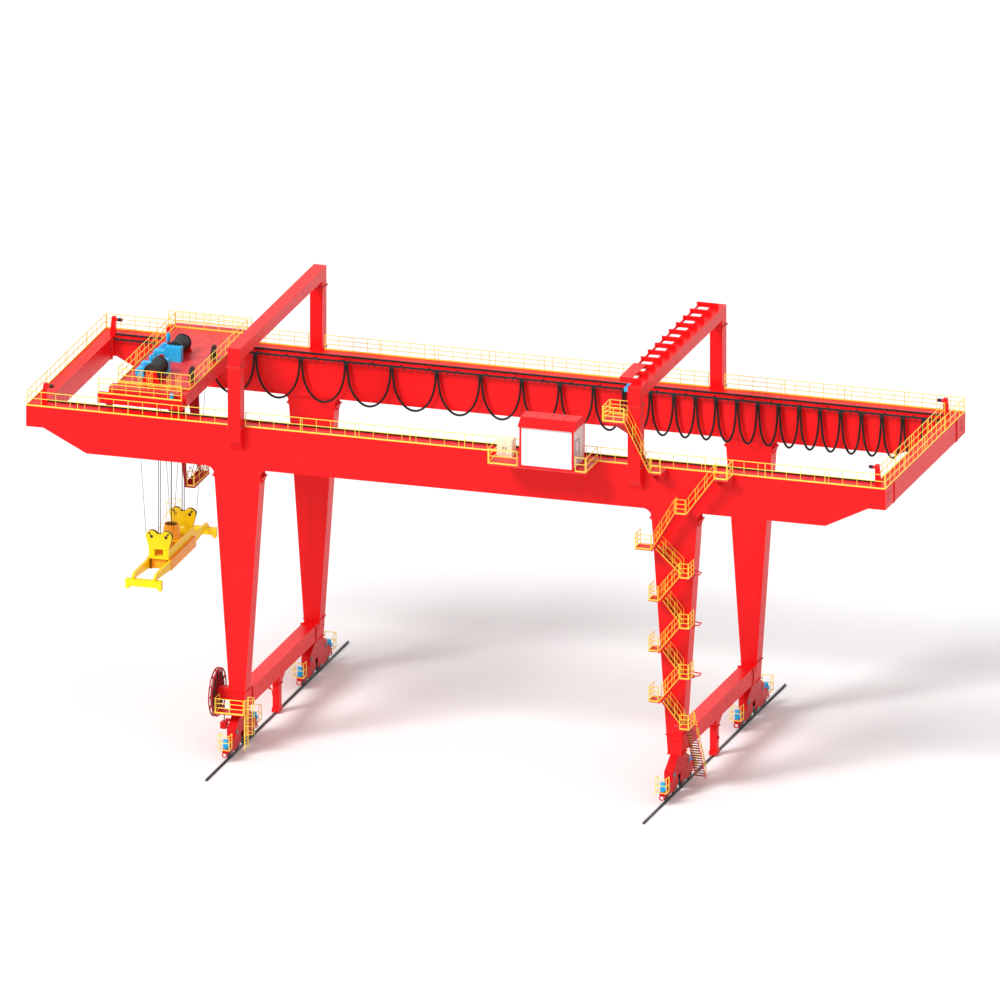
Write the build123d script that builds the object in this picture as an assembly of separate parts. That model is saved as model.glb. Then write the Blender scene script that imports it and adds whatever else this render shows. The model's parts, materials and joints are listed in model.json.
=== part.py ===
from build123d import *
import math
import os

os.makedirs("parts", exist_ok=True)

# All sizes are millimetres of the 1:2 model. X runs along the girders, Y along the ground rails, Z up.

# Clearances and shared plate sizes
running_gap = 0.3
slide_gap = 6
cut_overrun = 20
flange_thickness = 25
flange_lip = 40

# Ground rails
rail_gauge = 15190
rail_length = 15600
rail_height = 75
rail_head_width = 38
rail_head_height = 20
rail_web = 10
rail_foot_width = 75
rail_foot_height = 12

# Main girders and end beams
girder_length = 29860
girder_width = 700
girder_depth = 1465
girder_end_depth = 715
girder_nose_length = 600
girder_taper_length = 1495
girder_height = 11228
frame_width = 8740
end_beam_width = 500
end_splice_setback = 250

# Legs and sill beams
leg_top_width = 1585
leg_foot_width = 460
leg_depth = 590
leg_foot_height = 1275
stub_drop = 320
stub_fillet = 300
stub_chamfer = 90
sill_width = 500
sill_depth = 560
sill_rise = 55
sill_splice_setback = 300

# Portal frames over the girders
portal_post_width = 435
portal_post_depth = 450
portal_overhang = 355
portal_rise = 2815
portal_beam_depth = 420
portal_stub_drop = 255
right_portal_setback = 1295
portal_bracket_depth = 435
portal_bracket_bevel = 400

# Cable rack on the right portal beam
rack_plate_count = 12
rack_plate_height = 170
rack_plate_thickness = 24
rack_plate_spacing = 767
rack_reach = 650
rack_overhang = 100
rack_stringer_width = 30
rack_stringer_height = 90
rack_stringer_inset = 60
rack_cover_length = 1500
rack_cover_thickness = 20

# Trolley track, buffers and festoon
track_inset = 635
track_height = 60
track_width = 45
buffer_stand_length = 180
buffer_stand_width = 130
buffer_stand_height = 640
buffer_setback = 370
buffer_axis_height = 540
buffer_radius = 55
buffer_length = 220
festoon_track_width = 50
festoon_track_depth = 60
festoon_track_drop = 40
festoon_bracket_count = 30
festoon_bracket_width = 30
festoon_offset = 160
festoon_carrier_length = 150
festoon_carrier_depth = 70
festoon_wide_pitch = 1580
festoon_narrow_pitch = 720
festoon_start_setback = 3880
festoon_end_setback = 1180
festoon_loop_count = 24
festoon_sag = 1300
festoon_cable_width = 64
festoon_cable_thickness = 64
festoon_clamp_share = 0.25
festoon_clamp_drop_share = 0.28
festoon_shoulder_share = 0.11
festoon_shoulder_drop_share = 0.76
festoon_dip_share = 1.06
festoon_dip_reach_share = 0.36
festoon_wide_share = 0.146
festoon_narrow_share = 0.542
bend_room_share = 0.45

# Railings
rail_bar = 20
railing_height = 515
railing_bay = 2000
toe_board = 45
railing_edge = 20

# Electrical house on the front walkway
house_setback = 3695
house_length = 1875
house_width = 1250
house_height = 1370
house_wall = 30
house_post = 60
house_floor = 40
roof_rise = 230
roof_slope = 330
roof_overhang = 45
roof_edge = 40
house_door_width = 420
house_door_height = 900
house_door_inset = 180
cabinet_setback = 4740
cabinet_length = 530
cabinet_depth = 420
cabinet_height = 600

# Walkway platforms outside the front girder
platform_thickness = 60
platform_bracket_depth = 420
platform_bracket_width = 40
house_platform_far = 4800
house_platform_near = 1350
landing_reach = 640
portal_foot_near = 650
portal_foot_far = 1030
stair_head_near = 1580
stair_head_far = 2055
portal_landing_reach = 1000
portal_landing_drop = 1140

# Stairs
stair_lane = 285
stair_standoff = 66
stair_lane_gap = 10
stringer_depth = 95
stringer_thickness = 14
tread_depth = 95
tread_thickness = 14
tread_rise = 112
landing_thickness = 30
landing_beam_depth = 100
landing_beam_width = 60
stair_mid_near = 205
stair_mid_far = 605
stair_mid_drop = 1335
stair_upper_far = 1170
stair_upper_near = 595
stair_upper_drop = 2680
stair_left_far = 695
stair_left_near = 345
stair_right_near = 355
stair_right_far = 705
stair_storey = 878
stair_storeys = 7
foot_flight_run = 1250
foot_flight_height = 190

# Travel gear under each leg
wheel_radius = 175
wheel_width = 60
wheel_flange = 22
wheel_flange_width = 14
axle_radius = 40
wheel_spacing = 800
bogie_spacing = 1600
bogie_length = 1330
bogie_inner_width = 130
bogie_plate = 25
bogie_top = 560
bogie_foot = 210
bogie_bevel = 150
equaliser_end_depth = 260
equaliser_width = 300
equaliser_length = 1900
bogie_pin_height = 60
motor_radius = 75
motor_height = 300
motor_seat = 240
motor_reach = 190
gear_case_height = 150
tow_ring_radius = 95
tow_ring_bar = 32
tow_ring_drop = 40
guard_half_width = 200
guard_reach = 320
guard_height = 520
guard_mid_share = 0.5

# Storm anchors at mid-sill
anchor_top_length = 620
anchor_top_width = 420
anchor_foot_length = 320
anchor_claw_length = 440
anchor_drop = 380
anchor_column_width = 240
anchor_foot_gap = 30
anchor_claw_height = 130

# Cable reel
reel_radius = 825
reel_rim = 45
reel_width = 130
reel_hub_radius = 190
reel_cable_radius = 690
reel_spokes = 12
reel_spoke = 34
reel_offset = 725
reel_inset = 120
reel_height = 1875
reel_shaft_radius = 60
reel_case_width = 330
reel_case_height = 420
reel_platform_far = 630
reel_platform_near = 395
reel_platform_reach = 560
reel_platform_height = 1350
ladder_width = 200
ladder_rungs = 10
ladder_rung = 16
ladder_stile = 30
ladder_foot_height = 120

# Trolley
trolley_setback = 3788
truck_length = 2935
truck_width = 260
truck_depth = 330
truck_lift = 110
truck_wheel_radius = 160
truck_wheel_width = 70
truck_wheel_inset = 380
truck_pocket_gap = 20
deck_left_reach = 1008
deck_right_reach = 1542
deck_edge_gap = 585
deck_rise = 685
deck_plate = 40
cross_beam_width = 300
cross_beam_depth = 420
drum_radius = 250
drum_length = 900
drum_flange = 40
drum_flange_width = 30
drum_shaft_radius = 60
drum_offset = 62
drum_axis_rise = 340
drum_middle_y = -1015
drum_gap_half = 815
stand_width = 560
stand_head = 320
stand_thickness = 90
gearbox_length = 950
gearbox_height = 300
gearbox_neck = 380
gearbox_width = 260
gearbox_front_share = 0.3
hoist_motor_radius = 170
hoist_motor_length = 620
drive_motor_radius = 90
drive_motor_length = 300
sheave_radius = 270
sheave_width = 60
sheave_places = (-2300, 100)
sheave_offset = 1312
hanger_near = 1317
hanger_far = 1672
hanger_front_gap = 50
hanger_length = 1620
hanger_floor_height = 8550
hanger_arm_top = 470
hanger_arm_foot = 60
hanger_arm_width = 70

# Hoist ropes, headblock and spreader
hoist_offset = 128
spreader_height = 4785
rope_radius = 9
rope_fall_y = 1300
rope_spread_x = 860
power_cable_radius = 16
corner_spacing_x = 1129.5
corner_spacing_y = 5992.5
end_beam_reach = 1250
spreader_end_depth = 240
spreader_foot_drop = 80
spreader_foot_length = 130
spreader_end_width = 180
twistlock_radius = 24
twistlock_length = 60
arm_width = 80
arm_overlap = 500
arm_bevel = 90
main_half_length = 1360
main_rise = 165
main_depth = 365
main_beam_x = 332
main_wall = 14
main_cross_width = 160
block_plate = 40
block_gap = 90
block_base_depth = 330
block_height = 640
block_lobe_radius = 200
block_lobe_x = 250
block_valley_rise = 90
block_waist = 690
block_window_width = 300
block_window_height = 240
block_window_rise = 100
block_sheave_radius = 205
block_pin_radius = 40
basket_top_radius = 230
basket_foot_radius = 310
basket_height = 480
basket_wall = 14
basket_fill_drop = 70

# Heights and lines worked out from the sizes above
half_length = girder_length / 2
half_gauge = rail_gauge / 2
half_frame = frame_width / 2
girder_top = rail_height + girder_height
girder_bottom = girder_top - girder_depth
leg_head = girder_bottom - stub_drop
leg_foot = rail_height + leg_foot_height
sill_bottom = leg_foot + sill_rise
sill_top = sill_bottom + sill_depth
leg_axis_y = half_frame - leg_depth / 2
leg_inner_y = half_frame - leg_depth
girder_inner_y = half_frame - girder_width
track_y = half_frame - track_inset
track_top = girder_top + track_height
post_outer_y = half_frame + portal_overhang
post_inner_y = post_outer_y - portal_post_depth
left_portal_x = -half_gauge
right_portal_x = half_gauge - right_portal_setback
portal_top = girder_top + portal_rise
portal_beam_bottom = portal_top - portal_beam_depth
portal_splice = portal_beam_bottom - portal_stub_drop
wheel_axis = rail_height + wheel_radius + running_gap
platform_top = girder_top
house_left = right_portal_x - house_setback
cabinet_left = right_portal_x - cabinet_setback
house_platform_left = right_portal_x - house_platform_far
house_platform_right = right_portal_x - house_platform_near
portal_foot_left = right_portal_x + portal_foot_near
portal_foot_right = right_portal_x + portal_foot_far
portal_landing_left = right_portal_x - portal_landing_reach
stair_head_left = half_gauge + stair_head_near
stair_head_right = half_gauge + stair_head_far
reel_x = -half_gauge - reel_offset
reel_y = -half_frame + reel_inset
reel_platform_left = -half_gauge - reel_platform_far
reel_platform_right = -half_gauge + reel_platform_near
trolley_x = -half_length + trolley_setback
deck_left = trolley_x - deck_left_reach
deck_right = trolley_x + deck_right_reach
deck_half_width = track_y - deck_edge_gap
drum_x = trolley_x + drum_offset
sheave_x = trolley_x + sheave_offset
hanger_front = -deck_half_width + hanger_front_gap
hanger_back = hanger_front + hanger_length
hanger_left = trolley_x + hanger_near
hanger_right = trolley_x + hanger_far
hoist_x = trolley_x - hoist_offset
deck_top = girder_top + deck_rise
deck_bottom = deck_top - deck_plate
drum_axis = deck_top + drum_axis_rise
truck_bottom = track_top + truck_lift
truck_top = truck_bottom + truck_depth
spreader_bottom = rail_height + spreader_height
end_beam_low = spreader_bottom + spreader_foot_drop
end_beam_top = end_beam_low + spreader_end_depth
main_bottom = spreader_bottom + main_rise
main_top = main_bottom + main_depth
arm_bottom = main_bottom + main_wall + running_gap
arm_top = main_top - main_wall - slide_gap
rope_inner_x = block_lobe_x - block_sheave_radius - rope_radius
rope_outer_x = block_lobe_x + block_sheave_radius + rope_radius
main_beam_inner = arm_width + arm_width + slide_gap + slide_gap + slide_gap
main_beam_width = main_beam_inner + main_wall + main_wall
block_base_top = main_top + block_base_depth
block_top = block_base_top + block_height
block_lobe_z = block_top - block_lobe_radius
hanger_floor = rail_height + hanger_floor_height


def block(x_span, y_span, z_span):
    """Box between two limits on each axis."""
    spans = (x_span, y_span, z_span)
    centre = [(a + b) / 2 for a, b in spans]
    size = [abs(b - a) for a, b in spans]
    return Pos(*centre) * Box(*size)


def prism(points, direction):
    """Flat outline carried along one direction."""
    return Solid.extrude(Face(Wire.make_polygon(points)), Vector(*direction))


def prism_y(points_xz, y_span):
    """Outline in X and Z carried along Y."""
    return prism([(x, y_span[0], z) for x, z in points_xz], (0, y_span[1] - y_span[0], 0))


def prism_x(points_yz, x_span):
    """Outline in Y and Z carried along X."""
    return prism([(x_span[0], y, z) for y, z in points_yz], (x_span[1] - x_span[0], 0, 0))


def rod(start, end, radius):
    """Round bar between two points."""
    line = Vector(*end) - Vector(*start)
    base = (Align.CENTER, Align.CENTER, Align.MIN)
    return Plane(origin=start, z_dir=line) * Cylinder(radius, line.length, align=base)


def around(centre, half):
    """Limits the same distance either side of a centre."""
    return (centre - half, centre + half)


def fuse(shapes):
    """One body from pieces that meet."""
    shapes = list(shapes)
    return shapes[0].fuse(*shapes[1:]).clean()


def save(name, shapes):
    """Write the solids of one named piece."""
    solids = [solid for shape in shapes for solid in shape.solids()]
    export_step(Compound(solids), f"parts/{name}.step")


def railing(start, end, bays=None, levels=2, bar=rail_bar):
    """Guard rail between two foot points: toe board, posts and level rails fused in one flat lattice."""
    foot = Vector(*start)
    run = Vector(*end) - foot
    plan = Vector(run.X, run.Y, 0)
    bays = bays or max(round(plan.length / railing_bay), 1)
    across = plan.normalized().cross(Vector(0, 0, 1))
    post = bar / plan.length
    rise = railing_height - toe_board

    def corner(along, height):
        return foot + run * along + Vector(0, 0, height) - across * (bar / 2)

    def loop(a0, a1, h0, h1):
        return Wire.make_polygon([corner(a0, h0), corner(a1, h0), corner(a1, h1), corner(a0, h1)])

    holes = []
    pitch = (1 - post) / bays
    for bay in range(bays):
        for level in range(levels):
            low = toe_board + rise * level / levels
            high = toe_board + rise * (level + 1) / levels - bar
            holes.append(loop(bay * pitch + post, (bay + 1) * pitch, low, high))
    panel = Face(loop(0, 1, 0, railing_height), holes)
    return Solid.extrude(panel, across * bar)


def ground_rails():
    """Flat-footed rail section, one length under each side."""
    head = rail_height - rail_head_height
    half = rail_length / 2
    rails = []
    for side in (-1, 1):
        x = side * half_gauge
        foot = block(around(x, rail_foot_width / 2), (-half, half), (0, rail_foot_height))
        web = block(around(x, rail_web / 2), (-half, half), (rail_foot_height, head))
        top = block(around(x, rail_head_width / 2), (-half, half), (head, rail_height))
        rails.append(fuse([foot, web, top]))
    save("crane_rails", rails)


def leg_stub(x, y_span):
    """Short leg root under the girder: wide radius at left, small chamfer at right, bolted flange below."""
    half = leg_top_width / 2
    root_left = (x - half - stub_fillet, y_span[0], girder_bottom)
    root_right = (x + half + stub_chamfer, y_span[0], girder_bottom)
    face = Face(Wire([
        Line(root_left, root_right),
        Line(root_right, (x + half, y_span[0], girder_bottom - stub_chamfer)),
        Line((x + half, y_span[0], girder_bottom - stub_chamfer), (x + half, y_span[0], leg_head)),
        Line((x + half, y_span[0], leg_head), (x - half, y_span[0], leg_head)),
        Line((x - half, y_span[0], leg_head), (x - half, y_span[0], girder_bottom - stub_fillet)),
        TangentArc((x - half, y_span[0], girder_bottom - stub_fillet), root_left, tangent=(0, 0, 1)),
    ]))
    stub = Solid.extrude(face, Vector(0, y_span[1] - y_span[0], 0))
    reach = half + flange_lip + flange_lip
    flange = block(around(x, reach), (y_span[0], y_span[1]), (leg_head, leg_head + flange_thickness))
    return fuse([stub, flange])


def girders():
    """Box girders with tapered ends, the leg roots under them and the portal brackets outside them."""
    nose = half_length - girder_nose_length
    full = nose - girder_taper_length
    outline = [
        (-half_length, girder_top), (half_length, girder_top),
        (half_length, girder_top - girder_end_depth), (nose, girder_top - girder_end_depth),
        (full, girder_bottom), (-full, girder_bottom),
        (-nose, girder_top - girder_end_depth), (-half_length, girder_top - girder_end_depth),
    ]
    roots = []
    brackets = []
    for name, side in (("front_girder", -1), ("back_girder", 1)):
        save(name, [prism_y(outline, sorted((side * girder_inner_y, side * half_frame)))])
        leg_span = sorted((side * leg_inner_y, side * half_frame))
        roots += [leg_stub(x, leg_span) for x in (-half_gauge, half_gauge)]
        for x in (left_portal_x, right_portal_x):
            shelf = [
                (side * half_frame, girder_top), (side * post_outer_y, girder_top),
                (side * post_outer_y, girder_top - portal_bracket_depth),
                (side * half_frame, girder_top - portal_bracket_depth - portal_bracket_bevel),
            ]
            brackets.append(prism_x(shelf, around(x, portal_post_width / 2)))
    save("leg_roots", roots)
    save("portal_brackets", brackets)


def collar(x_span, y_span, z_span, lip=flange_lip):
    """Bolted flange plate standing proud of a box section on the two faces that a splice shows."""
    return block(x_span, y_span, (z_span[0] - lip, z_span[1]))


def end_beams():
    """Cross beams that close the frame, each with a bolted splice near either girder."""
    beams = []
    for side in (-1, 1):
        x_span = sorted((side * half_length, side * (half_length - end_beam_width)))
        z_span = (girder_top - girder_end_depth, girder_top)
        beam = block(x_span, (-girder_inner_y, girder_inner_y), z_span)
        wide = (x_span[0] - flange_lip, x_span[1]) if side > 0 else (x_span[0], x_span[1] + flange_lip)
        collars = []
        for end in (-1, 1):
            y = end * (girder_inner_y - end_splice_setback)
            collars.append(collar(wide, around(y, flange_thickness), z_span))
        beams.append(fuse([beam] + collars))
    save("end_beams", beams)


def legs():
    """Tapered box legs with a head flange and a foot flange, a pair on each rail."""
    top = leg_top_width / 2
    foot = leg_foot_width / 2
    reach = top + flange_lip + flange_lip
    for name, x in (("left_legs", -half_gauge), ("right_legs", half_gauge)):
        pair = []
        for side in (-1, 1):
            y_span = sorted((side * leg_inner_y, side * half_frame))
            outline = [(x - top, leg_head), (x + top, leg_head), (x + foot, leg_foot), (x - foot, leg_foot)]
            box = prism_y(outline, y_span)
            head = block(around(x, reach), y_span, (leg_head - flange_thickness, leg_head))
            base = block(around(x, foot + flange_lip), y_span, (leg_foot, leg_foot + flange_thickness))
            pair.append(fuse([box, head, base]))
        save(name, pair)


def sill_beams():
    """Box beams along the rails that tie the front and back legs, with splices beside the legs."""
    sills = []
    for side in (-1, 1):
        x = side * half_gauge
        beam = block(around(x, sill_width / 2), (-leg_inner_y, leg_inner_y), (sill_bottom, sill_top))
        collars = []
        for end in (-1, 1):
            y = end * (leg_inner_y - sill_splice_setback)
            collars.append(block(around(x, sill_width / 2 + flange_lip), around(y, flange_thickness),
                                 (sill_bottom - flange_lip, sill_top + flange_lip)))
        sills.append(fuse([beam] + collars))
    save("sill_beams", sills)


def portals():
    """Goal-post frames over the girders: bolted posts and a cross beam with short post roots."""
    posts = []
    beams = []
    for x in (left_portal_x, right_portal_x):
        x_span = around(x, portal_post_width / 2)
        roots = []
        for side in (-1, 1):
            y_span = sorted((side * post_inner_y, side * post_outer_y))
            lip_x = around(x, portal_post_width / 2 + flange_lip)
            lip_y = (y_span[0] - flange_lip, y_span[1] + flange_lip)
            post = block(x_span, y_span, (girder_top, portal_splice))
            foot = block(lip_x, y_span, (girder_top, girder_top + flange_thickness))
            head = block(lip_x, lip_y, (portal_splice - flange_thickness, portal_splice))
            posts.append(fuse([post, foot, head]))
            root = block(x_span, y_span, (portal_splice, portal_beam_bottom))
            seat = block(lip_x, lip_y, (portal_splice, portal_splice + flange_thickness))
            roots.extend([root, seat])
        beam = block(x_span, (-post_outer_y, post_outer_y), (portal_beam_bottom, portal_top))
        beams.append(fuse([beam] + roots))
    save("portal_posts", posts)
    save("portal_beams", beams)


def portal_rack():
    """Upright plates across the right portal beam, tied by a low stringer, with a cover over the front ones."""
    left = right_portal_x - rack_reach
    right = right_portal_x + rack_overhang
    span = rack_plate_spacing * (rack_plate_count - 1)
    top = portal_top + rack_plate_height
    plates = []
    for index in range(rack_plate_count):
        y = index * rack_plate_spacing - span / 2
        plates.append(block((left, right), around(y, rack_plate_thickness / 2), (portal_top, top)))
    tie = left + rack_stringer_inset
    stringer = block((tie, tie + rack_stringer_width), around(0, span / 2 + rack_plate_thickness / 2),
                     (portal_top, portal_top + rack_stringer_height))
    front = -span / 2 - rack_plate_thickness / 2
    cover = block((left, right_portal_x - portal_post_width / 2), (front, front + rack_cover_length),
                  (top - rack_cover_thickness, top))
    save("portal_rack", [fuse([stringer, cover] + plates)])


def trolley_track():
    """Trolley rails on the girder tops and a buffer on a stand at each end of them."""
    rails = []
    buffers = []
    end = half_length - buffer_setback - buffer_stand_length
    for side in (-1, 1):
        y = side * track_y
        rails.append(block((-end, end), around(y, track_width / 2), (girder_top, track_top)))
        for way in (-1, 1):
            foot = way * end
            back = way * (end + buffer_stand_length)
            axis = girder_top + buffer_axis_height
            top = girder_top + buffer_stand_height
            stand = prism_y([(foot, girder_top), (back, girder_top), (back, girder_top + buffer_stand_width),
                             (foot + way * buffer_stand_width, top), (foot, top)],
                            around(y, buffer_stand_width / 2))
            nose = rod((foot, y, axis), (foot - way * buffer_length, y, axis), buffer_radius)
            buffers.append(fuse([stand, nose]))
    save("trolley_rails", rails)
    save("trolley_buffers", buffers)


def festoon_hangers():
    """Places along X where the cable is clamped: wide loops by the parked trolley, narrow ones further on."""
    first = -half_length + festoon_start_setback
    last = half_length - festoon_end_setback
    widths = []
    for index in range(festoon_loop_count):
        share = index / festoon_loop_count - festoon_wide_share
        share = min(max(share / (festoon_narrow_share - festoon_wide_share), 0), 1)
        ease = share * share * (3 - 2 * share)
        widths.append(festoon_wide_pitch + (festoon_narrow_pitch - festoon_wide_pitch) * ease)
    stretch = (last - first) / sum(widths)
    places = [first]
    for width in widths:
        places.append(places[-1] + width * stretch)
    return places


def festoon():
    """Cable track on the back girder's inner face, its clamps, and the cable in hanging loops."""
    wall = girder_inner_y
    y = wall - festoon_offset
    top = girder_top - festoon_track_drop
    low = top - festoon_track_depth
    end = half_length - end_beam_width - flange_lip - cut_overrun
    track = block((-end, end), around(y, festoon_track_width / 2), (low, top))
    brackets = []
    for index in range(festoon_bracket_count):
        x = -end + festoon_bracket_width / 2
        x += index * (end + end - festoon_bracket_width) / (festoon_bracket_count - 1)
        brackets.append(block(around(x, festoon_bracket_width / 2), (y, wall), (low, top)))
    clamp_low = low - festoon_carrier_depth
    clamps = []
    for x in festoon_hangers():
        clamps.append(block(around(x, festoon_carrier_length / 2), around(y, festoon_cable_width / 2),
                            (clamp_low, low)))
    save("festoon_track", [fuse([track] + brackets + clamps)])

    loops = []
    places = festoon_hangers()
    half_gap = festoon_carrier_length * festoon_clamp_share
    for left, right in zip(places, places[1:]):
        a = left + half_gap
        b = right - half_gap
        shoulder = (b - a) * festoon_shoulder_share
        reach = (b - a) * festoon_dip_reach_share
        neck = clamp_low - festoon_sag * festoon_clamp_drop_share
        drop = clamp_low - festoon_sag * festoon_shoulder_drop_share
        dip = clamp_low - festoon_sag * festoon_dip_share
        route = [(a, y, clamp_low), (a, y, neck), (a + shoulder, y, drop), (a + reach, y, dip),
                 (b - reach, y, dip), (b - shoulder, y, drop), (b, y, neck), (b, y, clamp_low)]
        loops.append(cable_loop(route))
    save("festoon_cables", loops)


def bend_radii(route):
    """Largest arc at each corner that its two runs leave room for."""
    points = [Vector(*point) for point in route]
    radii = []
    for before, corner, after in zip(points, points[1:], points[2:]):
        turn = (corner - before).get_angle(after - corner)
        run = min((corner - before).length, (after - corner).length)
        radii.append(bend_room_share * run / math.tan(math.radians(turn / 2)))
    return radii


def cable_loop(route):
    """Flat cable along straight runs joined by tangent arcs."""
    path = FilletPolyline(*route, radius=bend_radii(route))
    start = Plane(origin=path @ 0, x_dir=(0, 1, 0), z_dir=path % 0)
    return sweep(start * Rectangle(festoon_cable_width, festoon_cable_thickness), path)


def girder_railings():
    """Guard rails on the outer edges of both girders, open at the portal posts, and across both ends."""
    gap = portal_post_width / 2 + flange_lip + railing_edge
    ends = half_length - railing_edge
    spans = [(-ends, left_portal_x - gap), (left_portal_x + gap, right_portal_x - gap),
             (right_portal_x + gap, ends)]
    for name, side, levels in (("front_railing", -1, 2), ("back_railing", 1, 3)):
        y = side * (half_frame - railing_edge)
        panels = [railing((a, y, girder_top), (b, y, girder_top), levels=levels) for a, b in spans]
        save(name, panels)
    cross = []
    reach = half_frame - railing_edge - railing_edge - rail_bar
    for side in (-1, 1):
        x = side * (half_length - railing_edge)
        cross.append(railing((x, -reach, girder_top), (x, reach, girder_top)))
    inner_x = half_length - end_beam_width + railing_edge
    inner_y = girder_inner_y - railing_edge
    cross.append(railing((inner_x, -inner_y, girder_top), (inner_x, inner_y, girder_top)))
    save("end_railings", cross)


def electrical_house():
    """Walk-in cabin: floor, corner posts, wall panels between them, a closed door and a double-sloped roof."""
    x_span = (house_left, house_left + house_length)
    y_span = (-half_frame - house_width, -half_frame)
    base = platform_top + house_floor
    eaves = platform_top + house_height
    floor = block(x_span, y_span, (platform_top, base))
    posts = []
    for x in (x_span[0], x_span[1] - house_post):
        for y in (y_span[0], y_span[1] - house_post):
            posts.append(block((x, x + house_post), (y, y + house_post), (base, eaves)))
    save("house_floor", [floor])
    save("house_posts", posts)

    inner_x = (x_span[0] + house_post, x_span[1] - house_post)
    inner_y = (y_span[0] + house_post, y_span[1] - house_post)
    inset = (house_post - house_wall) / 2
    height = (base, eaves)
    front = block(inner_x, (y_span[0] + inset, y_span[0] + inset + house_wall), height)
    back = block(inner_x, (y_span[1] - inset - house_wall, y_span[1] - inset), height)
    left = block((x_span[0] + inset, x_span[0] + inset + house_wall), inner_y, height)
    right_x = (x_span[1] - inset - house_wall, x_span[1] - inset)
    door_y = (inner_y[0] + house_door_inset, inner_y[0] + house_door_inset + house_door_width)
    door = block(right_x, door_y, (base, base + house_door_height))
    right = block(right_x, inner_y, height) - door
    save("house_walls", [front, back, left, right])
    save("house_door", [door])

    eave_y = (y_span[0] - roof_overhang, y_span[1])
    edge = eaves + roof_edge
    crown = edge + roof_rise
    outline = [(eave_y[0], eaves), (eave_y[1], eaves), (eave_y[1], edge), (eave_y[1] - roof_slope, crown),
               (eave_y[0] + roof_slope, crown), (eave_y[0], edge)]
    save("house_roof", [prism_x(outline, (x_span[0] - roof_overhang, x_span[1] + roof_overhang))])
    cabinet = block((cabinet_left, cabinet_left + cabinet_length), (-half_frame - cabinet_depth, -half_frame),
                    (platform_top, platform_top + cabinet_height))
    save("control_cabinet", [cabinet])


def outrigger(x_span, reach, inset=0):
    """Walkway plate outside the front girder on two knee brackets."""
    wall = -half_frame
    low = platform_top - platform_thickness
    plate = block(x_span, (wall - reach, wall), (low, platform_top))
    knees = []
    for x in (x_span[0] + inset, x_span[1] - inset - platform_bracket_width):
        knee = [(wall, low), (wall - reach, low), (wall, low - platform_bracket_depth)]
        knees.append(prism_x(knee, (x, x + platform_bracket_width)))
    return fuse([plate] + knees)


def side_platforms():
    """Walkways outside the front girder and the landing beside the right portal post, with their railings."""
    house_reach = house_width + roof_overhang
    plates = [
        outrigger((house_platform_left, house_platform_right), house_reach, platform_bracket_depth),
        outrigger((portal_foot_left, portal_foot_right), landing_reach),
        outrigger((stair_head_left, stair_head_right), landing_reach),
    ]
    top = portal_top - portal_landing_drop
    right = right_portal_x - portal_post_width / 2
    y_span = (-post_outer_y - landing_reach / 2 - flange_lip, -post_inner_y)
    low = top - platform_thickness
    landing = block((portal_landing_left, right), y_span, (low, top))
    struts = []
    for y in (-post_outer_y, -post_inner_y - platform_bracket_width):
        knee = [(right, low), (portal_landing_left, low), (right, low - platform_bracket_depth)]
        struts.append(prism_y(knee, (y, y + platform_bracket_width)))
    plates.append(fuse([landing] + struts))
    plates.append(reel_platform())
    save("side_platforms", plates)

    front = -half_frame - house_reach + railing_edge
    step = house_platform_right - railing_edge
    house_end = house_left + house_length + roof_overhang + rail_bar
    left_edge = house_platform_left + railing_edge
    cabin_edge = house_left - roof_overhang - rail_bar
    near = -half_frame - landing_reach + railing_edge
    landing_end = portal_landing_left + railing_edge
    panels = [
        railing((house_end, front, platform_top), (step - rail_bar, front, platform_top), bays=1),
        railing((step, front, platform_top), (step, -half_frame - rail_bar, platform_top), bays=1),
        railing((left_edge + rail_bar, front, platform_top), (cabin_edge, front, platform_top), bays=1),
        railing((left_edge, front, platform_top), (left_edge, -half_frame - rail_bar, platform_top), bays=1),
        railing((portal_foot_left, near, platform_top), (portal_foot_right - rail_bar, near, platform_top),
                bays=1),
        railing((stair_head_left, near, platform_top), (stair_head_right - railing_edge - rail_bar, near,
                platform_top), bays=1),
        railing((stair_head_right - railing_edge, near, platform_top),
                (stair_head_right - railing_edge, -half_frame - rail_bar, platform_top), bays=1),
        railing((landing_end, y_span[0], top), (landing_end, y_span[1], top), bays=2, levels=3),
        railing((landing_end + rail_bar, y_span[0] + rail_bar / 2, top),
                (right - rail_bar, y_span[0] + rail_bar / 2, top), bays=2, levels=3),
        railing((landing_end + rail_bar, y_span[1] - rail_bar / 2, top),
                (right - flange_lip - rail_bar, y_span[1] - rail_bar / 2, top), bays=2, levels=3),
    ]
    save("platform_railings", panels + reel_railings())


def stair_levels():
    """Landings of the leg stair from the top: left limit, right limit and height."""
    levels = [(half_gauge + stair_mid_near, half_gauge + stair_mid_far, girder_top - stair_mid_drop),
              (half_gauge - stair_upper_far, half_gauge - stair_upper_near, girder_top - stair_upper_drop)]
    for storey in range(1, stair_storeys + 1):
        right = storey % 2 == 1
        span = (stair_right_near, stair_right_far) if right else (-stair_left_far, -stair_left_near)
        levels.append((half_gauge + span[0], half_gauge + span[1], levels[1][2] - storey * stair_storey))
    return levels


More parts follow.
